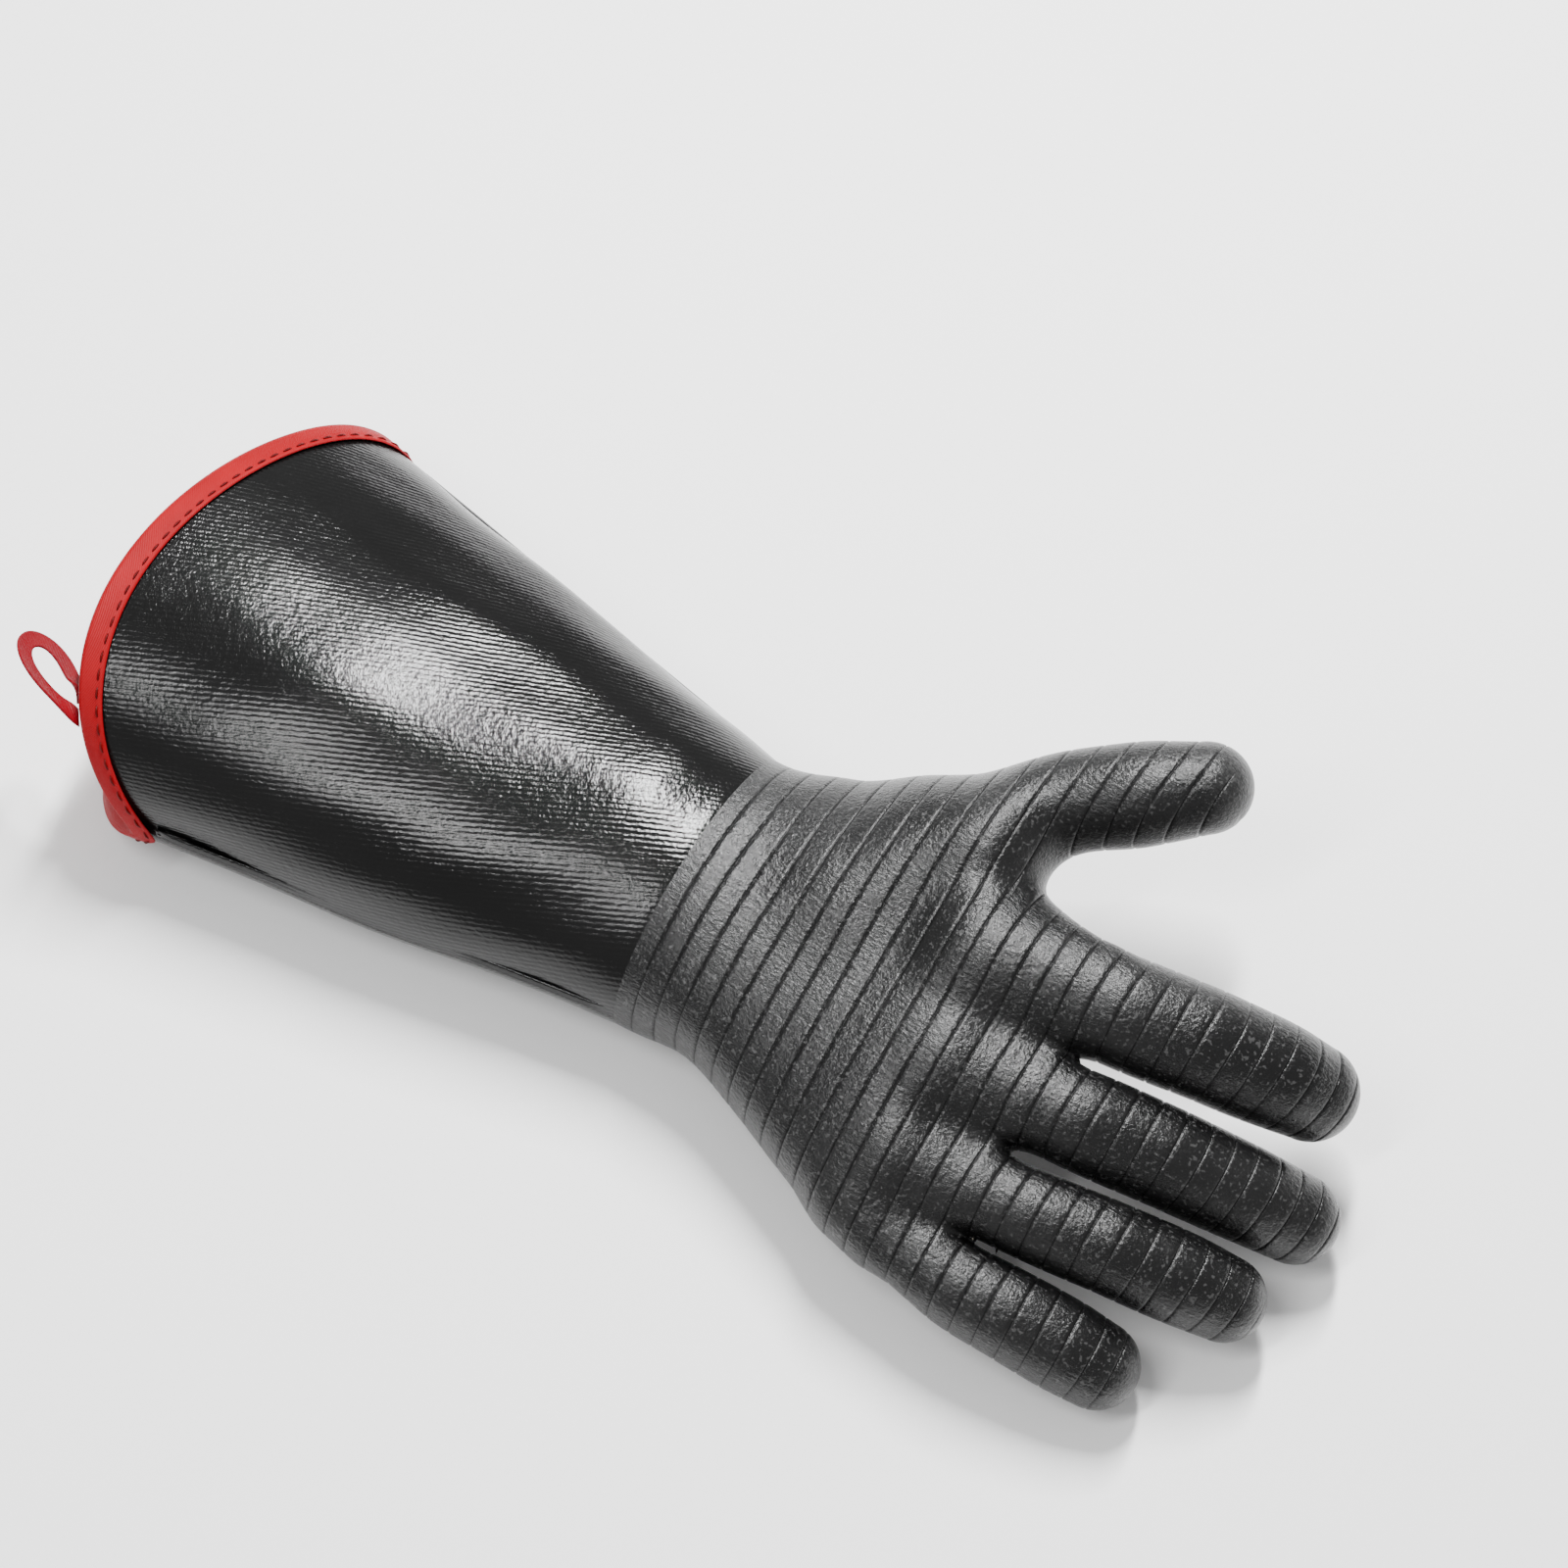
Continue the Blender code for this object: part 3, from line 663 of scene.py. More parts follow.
def vertex_normals(points, faces):
    mesh = bpy.data.meshes.new("measure")
    mesh.from_pydata(points, [], faces)
    mesh.update()
    normals = np.array([n.vector for n in mesh.vertex_normals])
    bpy.data.meshes.remove(mesh)
    return normals


def bend_hand(points, digits):
    """Curl every digit from straight to its rest pose."""
    nearest = nearest_digit(points, digits)
    bent = points.copy()
    for n, digit in enumerate(digits):
        own = nearest == n
        bent[own] = digit.curl(points[own])
    return bent


def groove_profile(y):
    """1 in the middle of a cross groove and 0 between grooves."""
    offset = (y - GROOVE_START + GROOVE_PITCH / 2) % GROOVE_PITCH - GROOVE_PITCH / 2
    return np.exp(-((offset / GROOVE_WIDTH) ** 2)) * (y > GROOVE_START / 2)


def tip_share(points, digits):
    """1 at the end of each digit, falling to 0 over its worn length."""
    shares = [(digit.local(points)[:, 1] - digit.starts[-1]) / TIP_WEAR + 1 for digit in digits]
    return smooth_step(np.choose(nearest_digit(points, digits), shares))


def groove_depth(points, tips):
    """Depth of the cross grooves, which fade out where the tips are worn."""
    kept = smooth_step((GROOVE_WORN_AT - tips) / GROOVE_FADE)
    return GROOVE_DEPTH * groove_profile(points[:, 1]) * kept


def piece_faces(points, faces, digits):
    """Faces of each piece of the skin, by (digit number, joint number); the palm is (-1, 0)."""
    centres = np.array([points[face].mean(0) for face in faces])
    pieces = {}
    for face, centre, n in zip(faces, centres, owner_digit(centres, digits)):
        k = 0
        if n >= 0:
            t = digits[n].local(centre[None])[0, 1]
            k = sum(t > cut for cut in digits[n].cuts)
        pieces.setdefault((int(n), k), []).append(face)
    return pieces


def make_shell(name, faces, outer, inner, normals, flat, marks, materials):
    """Closed shell between matching outer and inner skins, with the seamless outer normals."""
    used = np.unique(np.concatenate([np.array(face) for face in faces]))
    new = {old: i for i, old in enumerate(used)}
    count = len(used)
    outside = [[new[i] for i in face] for face in faces]
    inside = [[i + count for i in reversed(face)] for face in outside]
    edges = [edge for face in outside for edge in zip(face, face[1:] + face[:1])]
    known = set(edges)
    rim = [[b, a, a + count, b + count] for a, b in edges if (b, a) not in known]
    both = np.concatenate([outer[used], inner[used]]) + ORIGIN
    mesh = bpy.data.meshes.new(name)
    mesh.from_pydata(both, [], outside + inside + rim)
    slots = [0] * len(outside) + [1] * (len(inside) + len(rim))
    mesh.polygons.foreach_set("material_index", slots)
    mesh.polygons.foreach_set("use_smooth", [True] * len(slots))
    for material in materials:
        mesh.materials.append(material)
    mesh.update()
    mesh.normals_split_custom_set_from_vertices(np.concatenate([normals[used], -normals[used]]))
    add_vectors(mesh, "flat", np.concatenate([flat[used], flat[used]]))
    add_vectors(mesh, "marks", np.concatenate([marks[used], marks[used] * 0]))
    return add_object(name, mesh)


def add_vectors(mesh, name, values):
    """Keep a vector for each vertex, such as its place on the flat material."""
    attribute = mesh.attributes.new(name, "FLOAT_VECTOR", "POINT")
    attribute.data.foreach_set("vector", np.asarray(values, np.float32).ravel())


def frame_point(point):
    """Place in the frame of a point measured from the wrist line."""
    return tuple(point + ORIGIN)


def across_wrist(part):
    """Bake a piece's placement into its mesh."""
    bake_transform(part)


def bend_with_digit(skin, digit, k):
    """Bake one piece of a digit's skin in place and hide the CAD parts that it stands for."""
    direction = unit(digit.runs[k] + digit.runs[k + 1])
    reaches = (end - digit.starts[k] for end in digit.zones[k])
    start, end = (frame_point(digit.joints[k] + direction * reach) for reach in reaches)
    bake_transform(skin)
    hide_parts(digit.shells[k], digit.creases[k])
    if k == 0:
        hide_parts(f"{digit.name}_lining")


def build_hand(materials):
    """The dipped rubber hand: one skin, cut into pieces at the joints."""
    digits = [Digit(name) for name in FINGERS + ("thumb",)]
    points, faces = cut_skin(*straight_skin(digits), digits)
    rest = bend_hand(points, digits)
    normals = vertex_normals(rest, faces)
    tips = tip_share(points, digits)
    depth = groove_depth(points, tips)
    outer = rest - normals * depth[:, None]
    inner = rest - normals * RUBBER_WALL
    # Per vertex: share of a groove, for the painted shade in the grooves, and share of a tip, for the
    # paler tips
    marks = np.stack([depth / GROOVE_DEPTH, tips, np.zeros_like(tips)], 1)
    skins = (outer, inner, vertex_normals(outer, faces), points, marks)
    looks = (materials["rubber"], materials["cotton"])
    for (n, k), own in piece_faces(points, faces, digits).items():
        if n < 0:
            skin = make_shell("palm_skin", own, *skins, looks)
            across_wrist(skin)
            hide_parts("wrist_band", "wrist_lining", "hand_shell", "hand_lining")
        else:
            skin = make_shell(f"{digits[n].bodies[k + 1]}_skin", own, *skins, looks)
            bend_with_digit(skin, digits[n], k)


# ---- gauntlet


def gauntlet_outline(y, inset, floor=0.0):
    """Cross-section of the gauntlet, moved in by the inset: x and z round the body."""
    angle = np.arange(BODY_SIDES) * math.tau / BODY_SIDES
    y = np.broadcast_to(y, angle.shape)
    share = y / SIDE_RIM_Y
    half_width = mix(WRIST_HALF_WIDTH, RIM_HALF_WIDTH, share)
    height = mix(WRIST_HEIGHT, RIM_HEIGHT, y / (SIDE_RIM_Y - RIM_BULGE))
    centre = mix(WRIST_CENTRE_X, RIM_CENTRE_X, share)
    rise = np.sin(angle)
    tilt = 1 + RIM_TILT * share * np.cos(angle)
    upper = WIDEST_Z + (height - WIDEST_Z) * rise * tilt
    lower = WIDEST_Z + (WIDEST_Z - floor) * BELLY_FLATNESS * rise
    z = np.where(rise >= 0, upper, common(lower, floor, BELLY_CORNER))
    x = centre + half_width * np.cos(angle)
    dx, dz = np.roll(x, -1) - np.roll(x, 1), np.roll(z, -1) - np.roll(z, 1)
    length = np.hypot(dx, dz)
    return x - dz / length * inset, z + dx / length * inset


def rim_y():
    """How far back the curved rim lies, round the body."""
    angle = np.arange(BODY_SIDES) * math.tau / BODY_SIDES
    side, rise = np.cos(angle), np.sqrt(np.sin(angle) ** 2 + RIM_ROUNDING)
    return SIDE_RIM_Y + RIM_SKEW * side - RIM_BULGE * rise - 2 * RIM_SWEEP * side * rise


def sleeve_ring(y, inset):
    """Ring of the sleeve, whose belly lifts off the ground near the rim."""
    lift = BELLY_LIFT * (1 - smooth_step((y - rim_y()) / BELLY_START))
    x, z = gauntlet_outline(y, inset, lift)
    return np.stack([x, np.broadcast_to(y, x.shape), z], 1)


def rim_ring(station, inset):
    """Ring at a fixed distance from the rim."""
    return sleeve_ring(rim_y() + station, inset)


def sleeve_rings(inset, step, end=0.0):
    """Rings from the rim to the wrist line, which share their spacing along the sleeve."""
    count = int((end - SIDE_RIM_Y) / step)
    return [sleeve_ring(mix(rim_y(), end, k / count), inset) for k in range(count + 1)]


def loft_faces(rings, sides, closed=False):
    """Faces between rings of points, which follow each other in one list."""
    faces = []
    for j in range(rings if closed else rings - 1):
        for i in range(sides):
            a, b = j * sides, (j + 1) % rings * sides
            n = (i + 1) % sides
            faces.append((a + i, a + n, b + n, b + i))
    return faces


def capped_loft(rings, sides, base=0):
    """Faces of a closed rod of rings, whose points start at the base number."""
    count = rings * sides
    caps = [tuple(range(sides)), tuple(range(count - sides, count))]
    return [[base + i for i in face] for face in loft_faces(rings, sides) + caps]


def ring_lengths(ring):
    """Distance round a ring to each of its points, and the whole way round."""
    steps = np.linalg.norm(np.roll(ring, -1, 0) - ring, axis=1)
    return np.concatenate([[0], np.cumsum(steps)[:-1]]), steps.sum()


def sleeve_flat(rings):
    """Place of each vertex on the unrolled sleeve: across, along and through it."""
    flat = []
    for ring in rings:
        across = ring_lengths(ring)[0]
        across -= across[BODY_SIDES // 4]
        flat.append(np.stack([across, ring[:, 1], ring[:, 2]], 1))
    return np.concatenate(flat)


def make_part(name, points, faces, material, flat=None):
    """A new piece from its points and faces, shaded smooth."""
    mesh = bpy.data.meshes.new(name)
    mesh.from_pydata(np.asarray(points) + ORIGIN, [], faces)
    mesh.materials.append(material)
    mesh.polygons.foreach_set("use_smooth", [True] * len(mesh.polygons))
    work = bmesh.new()
    work.from_mesh(mesh)
    bmesh.ops.recalc_face_normals(work, faces=work.faces)
    work.to_mesh(mesh)
    work.free()
    add_vectors(mesh, "flat", points if flat is None else flat)
    return add_object(name, mesh)


def soft_dents(points):
    """How far the sleeve's surface stands in or out of its even cone."""
    stretched = points * np.array(DENT_STRETCH)
    off_rim = smooth_step((points[:, 1] - SIDE_RIM_Y) / DENT_FADE_RIM + 0.6)
    off_wrist = smooth_step(-points[:, 1] / DENT_FADE_WRIST)
    off_floor = smooth_step((points[:, 2] - DENT_FLOOR) / DENT_FADE_FLOOR)
    dents = sum(height * waves(stretched, size, seed) for height, size, seed in DENTS)
    return dents * off_rim * off_floor * off_wrist


def tube_part(name, outer, inner, material):
    """Closed sleeve between two runs of matching rings."""
    rings = list(outer) + list(reversed(inner))
    faces = loft_faces(len(rings), BODY_SIDES, closed=True)
    return make_part(name, np.concatenate(rings), faces, material, sleeve_flat(rings))


def build_sleeve(materials):
    """The coated shell, slightly dented, which ends under the dipped rubber."""
    outer, inner = [], []
    plain = (sleeve_rings(inset, SLEEVE_STEP, SLEEVE_OVERLAP) for inset in (0, SLEEVE_WALL))
    for out, inn in zip(*plain):
        dent = unit_rows(out - inn) * soft_dents(out)[:, None]
        sink = smooth_step(out[:, 1].mean() / SLEEVE_OVERLAP) * SLEEVE_SINK
        outer.append(out + dent + (inn - out) / SLEEVE_WALL * sink)
        inner.append(inn + dent)
    shell = tube_part("gauntlet_skin", outer, inner, materials["coated"])
    across_wrist(shell)
    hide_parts("gauntlet_shell")


def build_lining(materials):
    """The cotton lining, a little uneven on its open side."""
    depth = SLEEVE_WALL + GAP
    outer = sleeve_rings(depth, LINING_STEP)
    inner = []
    for out, inn in zip(outer, sleeve_rings(depth + LINING_WALL, LINING_STEP)):
        stretched = inn * np.array(LINING_STRETCH)
        puff = LINING_PUFF * (1 + waves(stretched, LINING_PUFF_SIZE, seed=5))
        inner.append(inn + unit_rows(inn - out) * puff[:, None])
    lining = tube_part("gauntlet_lining_cloth", outer, inner, materials["cotton"])
    across_wrist(lining)
    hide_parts("gauntlet_lining")


def build_binding(materials):
    """Tape folded over the rim, drawn in a little at each stitch."""
    low, high = -BINDING_GAP, SLEEVE_WALL + GAP + LINING_WALL + BINDING_GAP
    around, total = ring_lengths(rim_ring(STITCH_STATION, 0))
    count = round(total / STITCH_PITCH)
    phase = np.cos(around / total * count * math.tau)
    rings, flat = [], []
    for k, (station, inset, outside) in enumerate(binding_profile(low, high)):
        pull = math.exp(-(((station - STITCH_STATION) / PULL_REACH) ** 2))
        drawn = outside * pull * (PULL_DEPTH + PULL_WAVE * phase)
        ring = rim_ring(station, inset)
        inward = rim_ring(station, inset + MM) - ring
        rings.append(ring + inward / MM * drawn[:, None])
        flat.append(np.stack([around, np.full(BODY_SIDES, k * TAPE_FLAT_STEP), around * 0], 1))
    faces = loft_faces(len(rings), BODY_SIDES, closed=True)
    points, flat = np.concatenate(rings), np.concatenate(flat)
    binding = make_part("rim_binding", points, faces, materials["tape"], flat)
    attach(binding, "gauntlet")
    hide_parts("cuff_binding")


def binding_profile(low, high):
    """Stations and insets round the folded tape, and 1, 0 or -1 where it is drawn in or out."""
    middle = (low + high) / 2
    half = (high - low) / 2 + TAPE
    legs = np.linspace(BINDING_WIDTH, FOLD_START, LEG_ROWS)
    turns = np.linspace(math.pi / 2, -math.pi / 2, FOLD_ROWS)[1:-1]
    profile = [(station, low - TAPE * leg_height(station), 1) for station in legs]
    profile += [
        (FOLD_START - FOLD_REACH * math.cos(turn), middle - half * math.sin(turn), 0)
        for turn in turns
    ]
    profile += [(station, high + TAPE * leg_height(station), -1) for station in legs[::-1]]
    profile += [(station, high, 0) for station in (BINDING_WIDTH, FOLD_INSIDE)]
    profile += [(station, low, 0) for station in (FOLD_INSIDE, BINDING_WIDTH)]
    return profile


def leg_height(station):
    """Share of the tape's thickness, which is less at its edge."""
    return mix(TAPE_EDGE_SHARE, 1, smooth_step((BINDING_WIDTH - station) / TAPE_EDGE_LENGTH))


def ring_value(rows, around, distance):
    """Row of values at a distance round a ring, whose last row repeats its first."""
    return np.array([np.interp(distance, around, column) for column in rows.T])


def stitch_points(middle, around, ring, out):
    """Rings of points round one stitch, thin and sunk at both ends."""
    points = []
    angles = np.arange(STITCH_SIDES) * math.tau / STITCH_SIDES
    for share in np.linspace(0, 1, STITCH_RINGS):
        place = (middle + (share - 0.5) * STITCH_LENGTH) % around[-1]
        ahead, behind = (ring_value(ring, around, place + step) for step in (MM, -MM))
        normal = unit(ring_value(out, around, place))
        side = unit(np.cross(unit(ahead - behind), normal))
        bow = math.sin(math.pi * share)
        lift = BINDING_GAP + TAPE - STITCH_SINK + STITCH_BOW * bow
        centre = ring_value(ring, around, place) + normal * lift
        radius = STITCH_RADIUS * mix(STITCH_END_SHARE, 1, bow)
        points += [centre + (normal * math.sin(a) + side * math.cos(a)) * radius for a in angles]
    return points


def build_stitches(materials):
    """Short threads that dip into the binding at both ends."""
    ring = rim_ring(STITCH_STATION, 0)
    out = rim_ring(STITCH_STATION, -MM) - ring
    around, total = ring_lengths(ring)
    around = np.append(around, total)
    ring, out = (np.concatenate([rows, rows[:1]]) for rows in (ring, out))
    count = round(total / STITCH_PITCH)
    points, faces = [], []
    for k in range(count):
        faces += capped_loft(STITCH_RINGS, STITCH_SIDES, len(points))
        points += stitch_points((k + 0.5) * total / count, around, ring, out)
    stitches = make_part("binding_stitches", np.array(points), faces, materials["thread"])
    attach(stitches, "gauntlet")
    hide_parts("binding_thread")


def build_side_seam(name, node, index, materials):
    """Two pressed ridges side by side, where the panels of the gauntlet are joined."""
    outward = 1 if index < BODY_SIDES // 4 else -1
    start = rim_y()[index] + BINDING_WIDTH + SEAM_GAP
    points = []
    for y in np.linspace(start, -SEAM_GAP, SEAM_ROWS):
        x, z = (side[index] for side in gauntlet_outline(y, 0))
        fade = smooth_step((y - start) / SEAM_START_FADE)
        fade *= min(1.0, SEAM_END_HEIGHT + smooth_step(-y / SEAM_END_FADE))
        for across, height in SEAM_PROFILE:
            rise = mix(SEAM_SUNK, height, fade) * MM
            points.append((x + outward * rise, y, z + across * MM))
        points.append((x - outward * SEAM_BACK, y, z))
    faces = capped_loft(SEAM_ROWS, len(SEAM_PROFILE) + 1)
    seam = make_part(name, np.array(points), faces, materials["coated"])
    across_wrist(seam)
    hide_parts(node)


def tape_ring(place, run, width):
    """Points round the loop's tape, from the direction that it runs in and its width's."""
    thickness = unit(np.cross(width, run))
    half = LOOP_WIDTH / 2
    return [
        place + width * side * half + thickness * (depth - 0.5) * LOOP_TAPE
        for side, depth in LOOP_PROFILE
    ]


def build_loop(materials):
    """The hanging loop: a narrow tape in a leaning teardrop, twisted flat away from the rim."""
    hinge = HINGES["loop_swing"]
    origin = np.array(hinge["pos_m"]) - ORIGIN
    rim_line = unit(np.array(hinge["axis"]))
    centre = node_points("hanging_loop").mean(0) - origin
    outward = unit(centre - rim_line * (centre @ rim_line))
    lean = rim_line * math.sin(LOOP_LEAN) + outward * math.cos(LOOP_LEAN)
    across = -np.cross(rim_line, outward)
    face = np.cross(lean, across)
    angles = np.linspace(0, math.tau, LOOP_STEPS + 1)
    path = np.array([origin + loop_point(angle, rim_line, lean, across) for angle in angles])
    points = []
    for angle, place, run in zip(angles, path, np.gradient(path, axis=0)):
        share = smooth_step(min(angle, math.tau - angle) / LOOP_TWIST_SPAN)
        edge = unit(np.cross(run, face))
        twisted = face * math.cos(LOOP_TWIST) + edge * math.sin(LOOP_TWIST)
        points += tape_ring(place, run, unit(mix(rim_line, twisted, share)))
    faces = capped_loft(len(angles), len(LOOP_PROFILE))
    loop = make_part("hanging_loop_tape", np.array(points), faces, materials["loop"])
    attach(loop, "loop")
    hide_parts("hanging_loop")


def loop_point(angle, rim_line, lean, across):
    """Middle of the tape, from the loop's hinge."""
    along = LOOP_START + (LOOP_LENGTH - LOOP_TAPE / 2) * (1 - math.cos(angle)) / 2
    opening = (LOOP_HALF_OPENING - LOOP_TAPE / 2) * math.sin(angle) * math.sin(angle / 2)
    return lean * along + across * opening + rim_line * LOOP_HALF_SPREAD * math.cos(angle / 2)


# ---- materials


class Look:
    """A material with short ways to add and join its nodes."""

    def __init__(self, name):
        self.material = bpy.data.materials.new(name)
        self.material.use_nodes = True
        self.tree = self.material.node_tree

    def put(self, socket, value):
        """Give a socket a value, or join another socket to it."""
        if isinstance(value, bpy.types.NodeSocket):
            self.tree.links.new(value, socket)
        else:
            socket.default_value = value

    def node(self, kind, **inputs):
        """A new node; an underscore stands for a space in an input's name."""
        made = self.tree.nodes.new(kind)
        for name, value in inputs.items():
            self.put(made.inputs[name.replace("_", " ")], value)
        return made

    def surface(self, **inputs):
        """Set the shader's own inputs."""
        shader = self.tree.nodes["Principled BSDF"]
        for name, value in inputs.items():
            self.put(shader.inputs[name.replace("_", " ")], value)

    def attribute(self, name):
        source = self.tree.nodes.new("ShaderNodeAttribute")
        source.attribute_name = name
        return source.outputs["Vector"]

    def flat(self, scale=(1, 1, 1), turn=0.0):
        """Place on the flat material, turned in its plane and then stretched by the scale."""
        place = self.attribute("flat")
        if turn:
            place = self.node("ShaderNodeMapping", Vector=place, Rotation=(0, 0, turn)).outputs["Vector"]
        return self.node("ShaderNodeMapping", Vector=place, Scale=scale).outputs["Vector"]

    def noise(self, place, scale, detail, roughness=0.5):
        """Uneven patches, this many to the metre."""
        texture = "ShaderNodeTexNoise"
        made = self.node(texture, Vector=place, Scale=scale, Detail=detail, Roughness=roughness)
        return made.outputs["Fac"]

    def waves(self, place, direction, pitch, distortion):
        """Even bands of this pitch in metres, across the direction."""
        made = self.node("ShaderNodeTexWave", Vector=place, Distortion=distortion)
        made.bands_direction = direction
        self.put(made.inputs["Scale"], math.tau / WAVE_NODE_TURNS / pitch)
        self.put(made.inputs["Detail Scale"], 2.5)
        return made.outputs["Fac"]

    def range(self, value, low, high, to_low, to_high):
        """A value's range from low to high, moved to another range."""
        ends = {"From_Min": low, "From_Max": high, "To_Min": to_low, "To_Max": to_high}
        return self.node("ShaderNodeMapRange", Value=value, **ends).outputs["Result"]

    def math(self, operation, a, b):
        made = self.tree.nodes.new("ShaderNodeMath")
        made.operation = operation
        self.put(made.inputs[0], a)
        self.put(made.inputs[1], b)
        return made.outputs["Value"]

    def colours(self, share, first, second):
        """The first colour where the share is 0, and the second where it is 1."""
        made = self.tree.nodes.new("ShaderNodeMix")
        made.data_type = "RGBA"
        self.put(made.inputs["Factor"], share)
        sockets = [socket for socket in made.inputs if socket.type == "RGBA"]
        for socket, colour in zip(sockets, (first, second)):
            plain = not isinstance(colour, bpy.types.NodeSocket)
            self.put(socket, (*colour, 1) if plain else colour)
        return next(socket for socket in made.outputs if socket.type == "RGBA")

    def bump(self, height, distance, strength=1.0, **under):
        """The normal over a height, laid on another normal if one is given."""
        made = self.node("ShaderNodeBump", Height=height, Distance=distance, Strength=strength, **under)
        return made.outputs["Normal"]


def coated_look():
    """Glossy black coating over a diagonal rib, wrinkled finely so that its shine is broken."""
    look = Look("coated_fabric")
    ribs = look.waves(look.flat(turn=RIB_TURN), "Y", RIB_PITCH, distortion=1.5)
    grain_place = look.flat((1, 0.6, 1), RIB_TURN)
    grain = look.noise(grain_place, scale=900, detail=3, roughness=0.7)
    orange_peel = look.noise(look.flat(), scale=330, detail=2)
    patches = look.noise(look.flat((1, 0.5, 1)), scale=26, detail=3)
    uneven_grain = look.math("MULTIPLY", grain, look.range(patches, 0.35, 0.65, 0.85, 1.1))
    height = look.math("ADD", look.math("MULTIPLY", ribs, 0.38), uneven_grain)
    ribbed = look.bump(height, 0.11 * MM)
    look.surface(
        Normal=look.bump(orange_peel, 0.16 * MM, 0.8, Normal=ribbed),
        Base_Color=look.colours(look.range(patches, 0.3, 0.7, 0.0, 1.0), *COATING),
        Roughness=look.range(patches, 0.3, 0.7, 0.12, 0.19),
        Specular_IOR_Level=0.28,
    )
    return look.material


def rubber_look():
    """Half-matt dipped rubber: sandy grain, pale specks, painted shade in the cross grooves and tips
    painted paler.
    """
    look = Look("dipped_rubber")
    streaks = look.noise(look.flat((1, 0.35, 1)), scale=900, detail=3, roughness=0.7)
    sand = look.noise(look.flat(), scale=850, detail=3, roughness=0.7)
    patches = look.noise(look.flat((1, 0.7, 1)), scale=34, detail=4)
    specks = look.noise(look.flat(), scale=760, detail=1)
    marks = look.node("ShaderNodeSeparateXYZ", Vector=look.attribute("marks"))
    groove, tip = marks.outputs["X"], marks.outputs["Y"]
    height = look.math("ADD", streaks, look.math("MULTIPLY", sand, 0.8))
    colour = look.colours(look.range(patches, 0.35, 0.7, 0.0, 1.0), *RUBBER)
    colour = look.colours(look.range(specks, 0.61, 0.69, 0.0, 0.6), colour, RUBBER_SPECK)
    # Tips painted paler grey, in streaks, over the end of each digit
    paler_tip = look.math("MULTIPLY", tip, look.range(streaks, 0.4, 0.65, 0.1, 0.8))
    colour = look.colours(paler_tip, colour, RUBBER_PALE_TIP)
    look.surface(
        Normal=look.bump(height, 0.34 * MM),
        # Painted shade in the cross grooves: a darker colour and a lower shine along each groove
        Base_Color=look.colours(look.range(groove, 0.2, 1.0, 0.0, 0.8), colour, RUBBER_GROOVE_SHADE),
        Roughness=look.range(patches, 0.3, 0.7, 0.23, 0.32),
        Specular_IOR_Level=look.range(groove, 0.2, 1.0, 0.36, 0.12),
    )
    return look.material


def cotton_look():
    """Natural cotton knit, slightly yellow."""
    look = Look("cotton_lining")
    knit = look.waves(look.flat(), "X", KNIT_PITCH, distortion=3.0)
    fuzz = look.noise(look.flat(), scale=900, detail=4, roughness=0.7)
    patches = look.noise(look.flat(), scale=40, detail=3)
    look.surface(
        Normal=look.bump(look.math("ADD", knit, fuzz), 0.35 * MM, 0.8),
        Base_Color=look.colours(look.range(patches, 0.3, 0.7, 0.0, 1.0), *COTTON),
        Roughness=look.range(fuzz, 0.3, 0.7, 0.85, 0.95),
        Sheen_Weight=0.2,
    )
    return look.material


def tape_look(name, reds):
    """Satin woven tape or thread."""
    look = Look(name)
    weave = look.waves(look.flat(turn=TAPE_WEAVE_TURN), "X", TAPE_WEAVE_PITCH, distortion=0.8)
    thread = look.noise(look.flat((0.4, 1, 1)), scale=2200, detail=2)
    patches = look.noise(look.flat(), scale=60, detail=3)
    look.surface(
        Normal=look.bump(look.math("ADD", weave, thread), 0.12 * MM, 0.6),
        Base_Color=look.colours(look.range(patches, 0.3, 0.7, 0.0, 1.0), *reds),
        Roughness=look.range(thread, 0.3, 0.7, 0.42, 0.56),
        Specular_IOR_Level=0.12,
    )
    return look.material


# ---- stage


def area_light(name, target, direction, size, power):
    """A long soft light that faces its target."""
    data = bpy.data.lights.new(name, "AREA")
    data.shape = "RECTANGLE"
    data.size, data.size_y = size
    data.energy = power
    light = add_object(name, data)
    away = Vector(direction).normalized() * LIGHT_DISTANCE
    light.location = target + away
    light.rotation_mode = "QUATERNION"
    light.rotation_quaternion = (-away).to_track_quat("-Z", "Y")


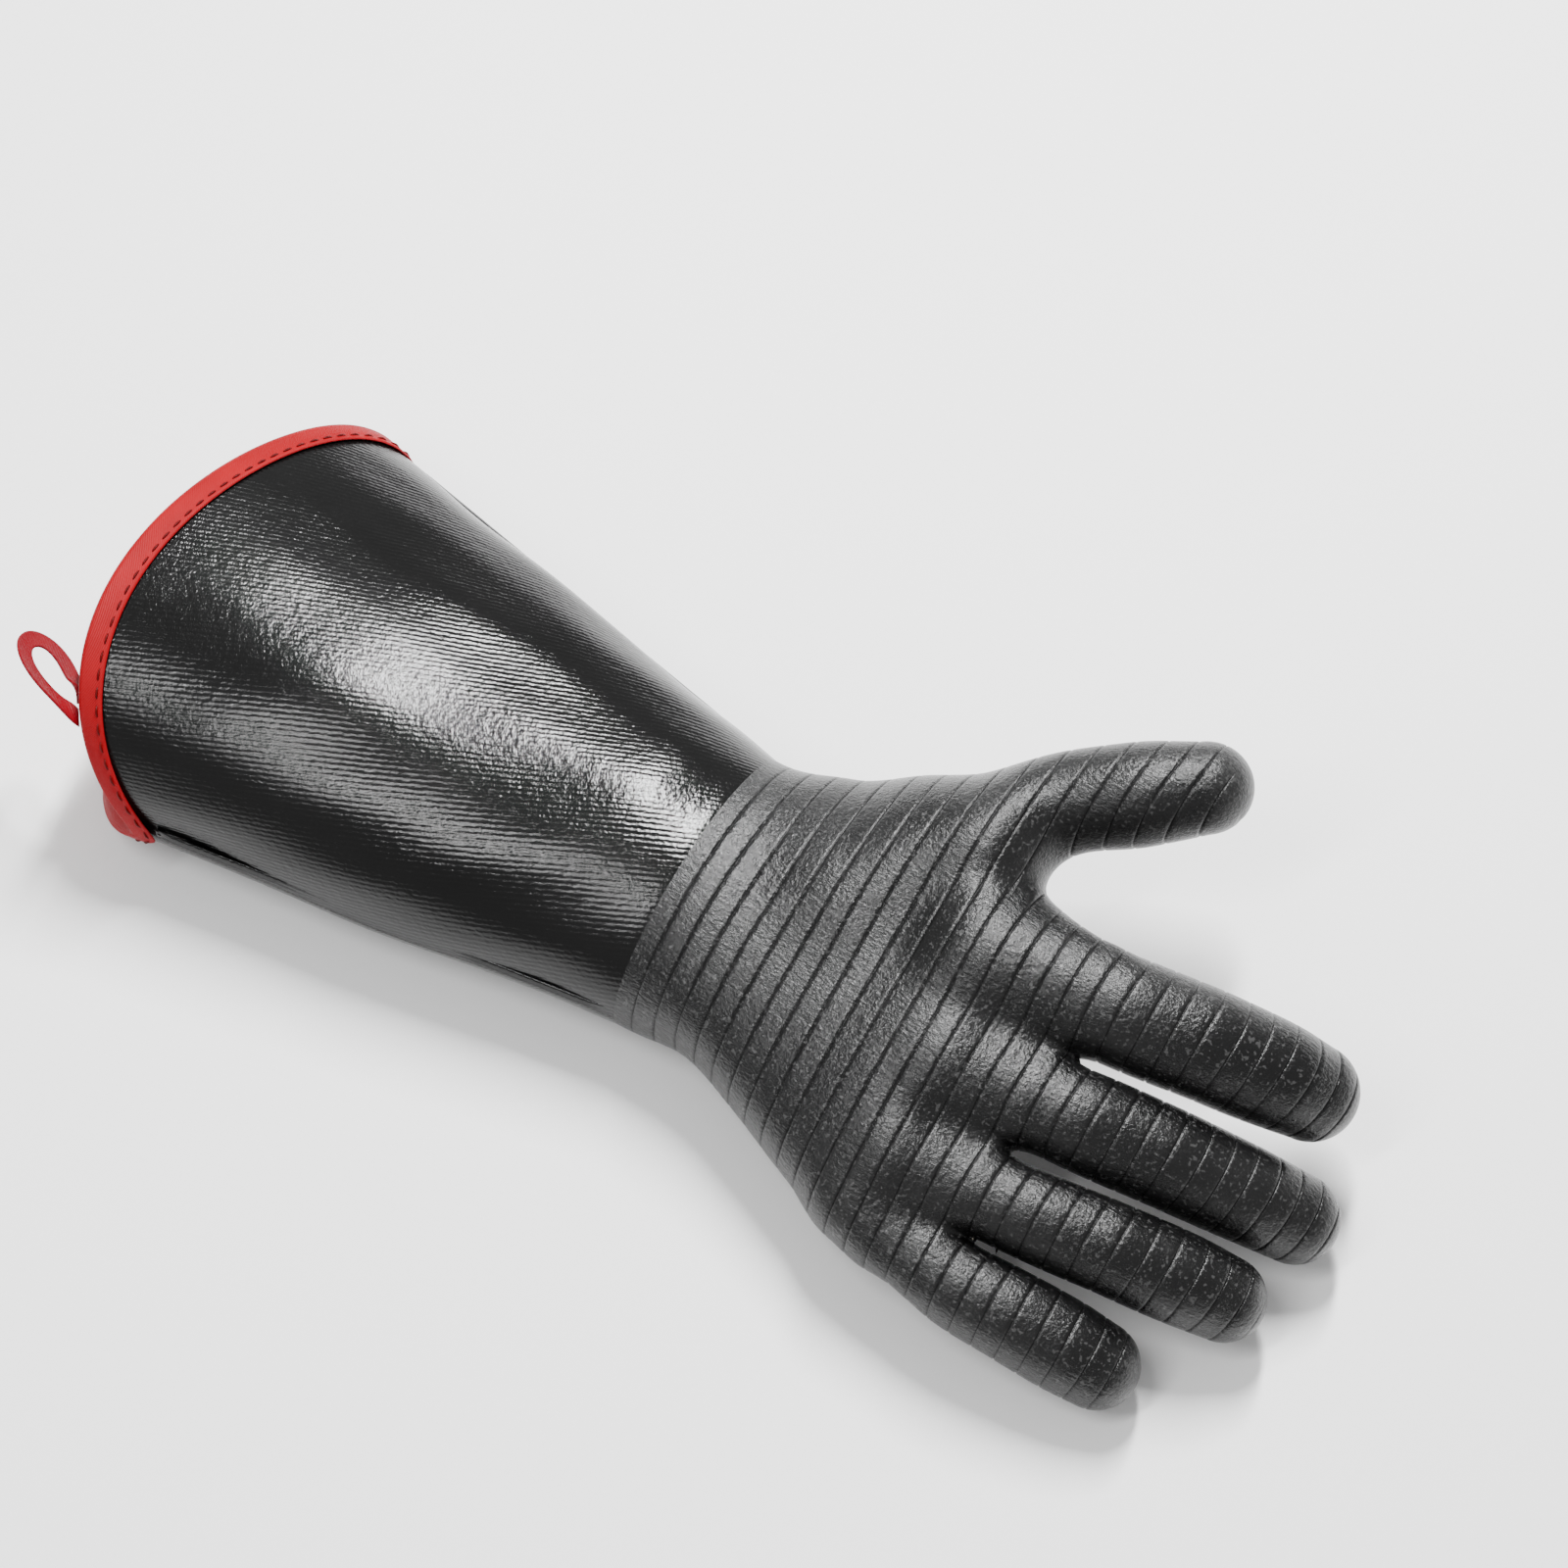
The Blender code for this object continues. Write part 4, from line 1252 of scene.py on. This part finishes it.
def build_stage():
    """A plain white floor just under the glove."""
    mesh = bpy.data.meshes.new("floor")
    turns = ((-1, -1), (1, -1), (1, 1), (-1, 1))
    corners = [(x * FLOOR_HALF_SIZE, y * FLOOR_HALF_SIZE, -FLOOR_DROP) for x, y in turns]
    mesh.from_pydata(corners, [], [(0, 1, 2, 3)])
    look = Look("floor_paper")
    place = look.node("ShaderNodeTexCoord").outputs["Object"]
    grain = look.noise(place, scale=400, detail=2)
    colour = look.colours(grain, *FLOOR_WHITE)
    look.surface(Base_Color=colour, Roughness=0.9, Specular_IOR_Level=0.1)
    mesh.materials.append(look.material)
    add_object("floor", mesh)


def build_lights():
    target = Vector(ORIGIN) + Vector((0, 0, LIGHT_AIM_HEIGHT))
    area_light("key", target, **KEY_LIGHT)
    area_light("second", target, **SECOND_LIGHT)
    world = bpy.data.worlds.new("studio")
    world.use_nodes = True
    background = world.node_tree.nodes["Background"]
    background.inputs["Color"].default_value = (1, 1, 1, 1)
    background.inputs["Strength"].default_value = SKY_STRENGTH
    bpy.context.scene.world = world


def build_camera():
    """The camera at the photograph's angle, aimed a little past the wrist."""
    level = math.cos(CAMERA_ELEVATION)
    back = Vector((
        math.sin(CAMERA_AZIMUTH) * level,
        -math.cos(CAMERA_AZIMUTH) * level,
        math.sin(CAMERA_ELEVATION),
    ))
    right = Vector((math.cos(CAMERA_AZIMUTH), math.sin(CAMERA_AZIMUTH), 0))
    up = back.cross(right)
    data = bpy.data.cameras.new("camera")
    data.lens = CAMERA_LENS
    data.sensor_width = 36
    camera = add_object("camera", data)
    wrist = Vector(ORIGIN) + Vector((0, 0, WRIST_HINGE[2]))
    target = wrist + right * CAMERA_AIM_RIGHT + up * CAMERA_AIM_UP
    camera.matrix_world = Matrix((right, up, back)).transposed().to_4x4()
    camera.location = target + back * CAMERA_DISTANCE
    bpy.context.scene.camera = camera


def main():
    materials = {
        "coated": coated_look(),
        "rubber": rubber_look(),
        "cotton": cotton_look(),
        "tape": tape_look("red_tape", BINDING_RED),
        "loop": tape_look("red_loop_tape", LOOP_RED),
        "thread": tape_look("red_thread", THREAD_RED),
    }
    build_camera()
    build_lights()
    build_stage()
    build_sleeve(materials)
    build_lining(materials)
    build_binding(materials)
    build_stitches(materials)
    build_side_seam("little_side_welt", "little_side_seam", SEAM_SIDES_UP, materials)
    thumb_side = BODY_SIDES // 2 - SEAM_SIDES_UP
    build_side_seam("thumb_side_welt", "thumb_side_seam", thumb_side, materials)
    build_loop(materials)
    build_hand(materials)


main()
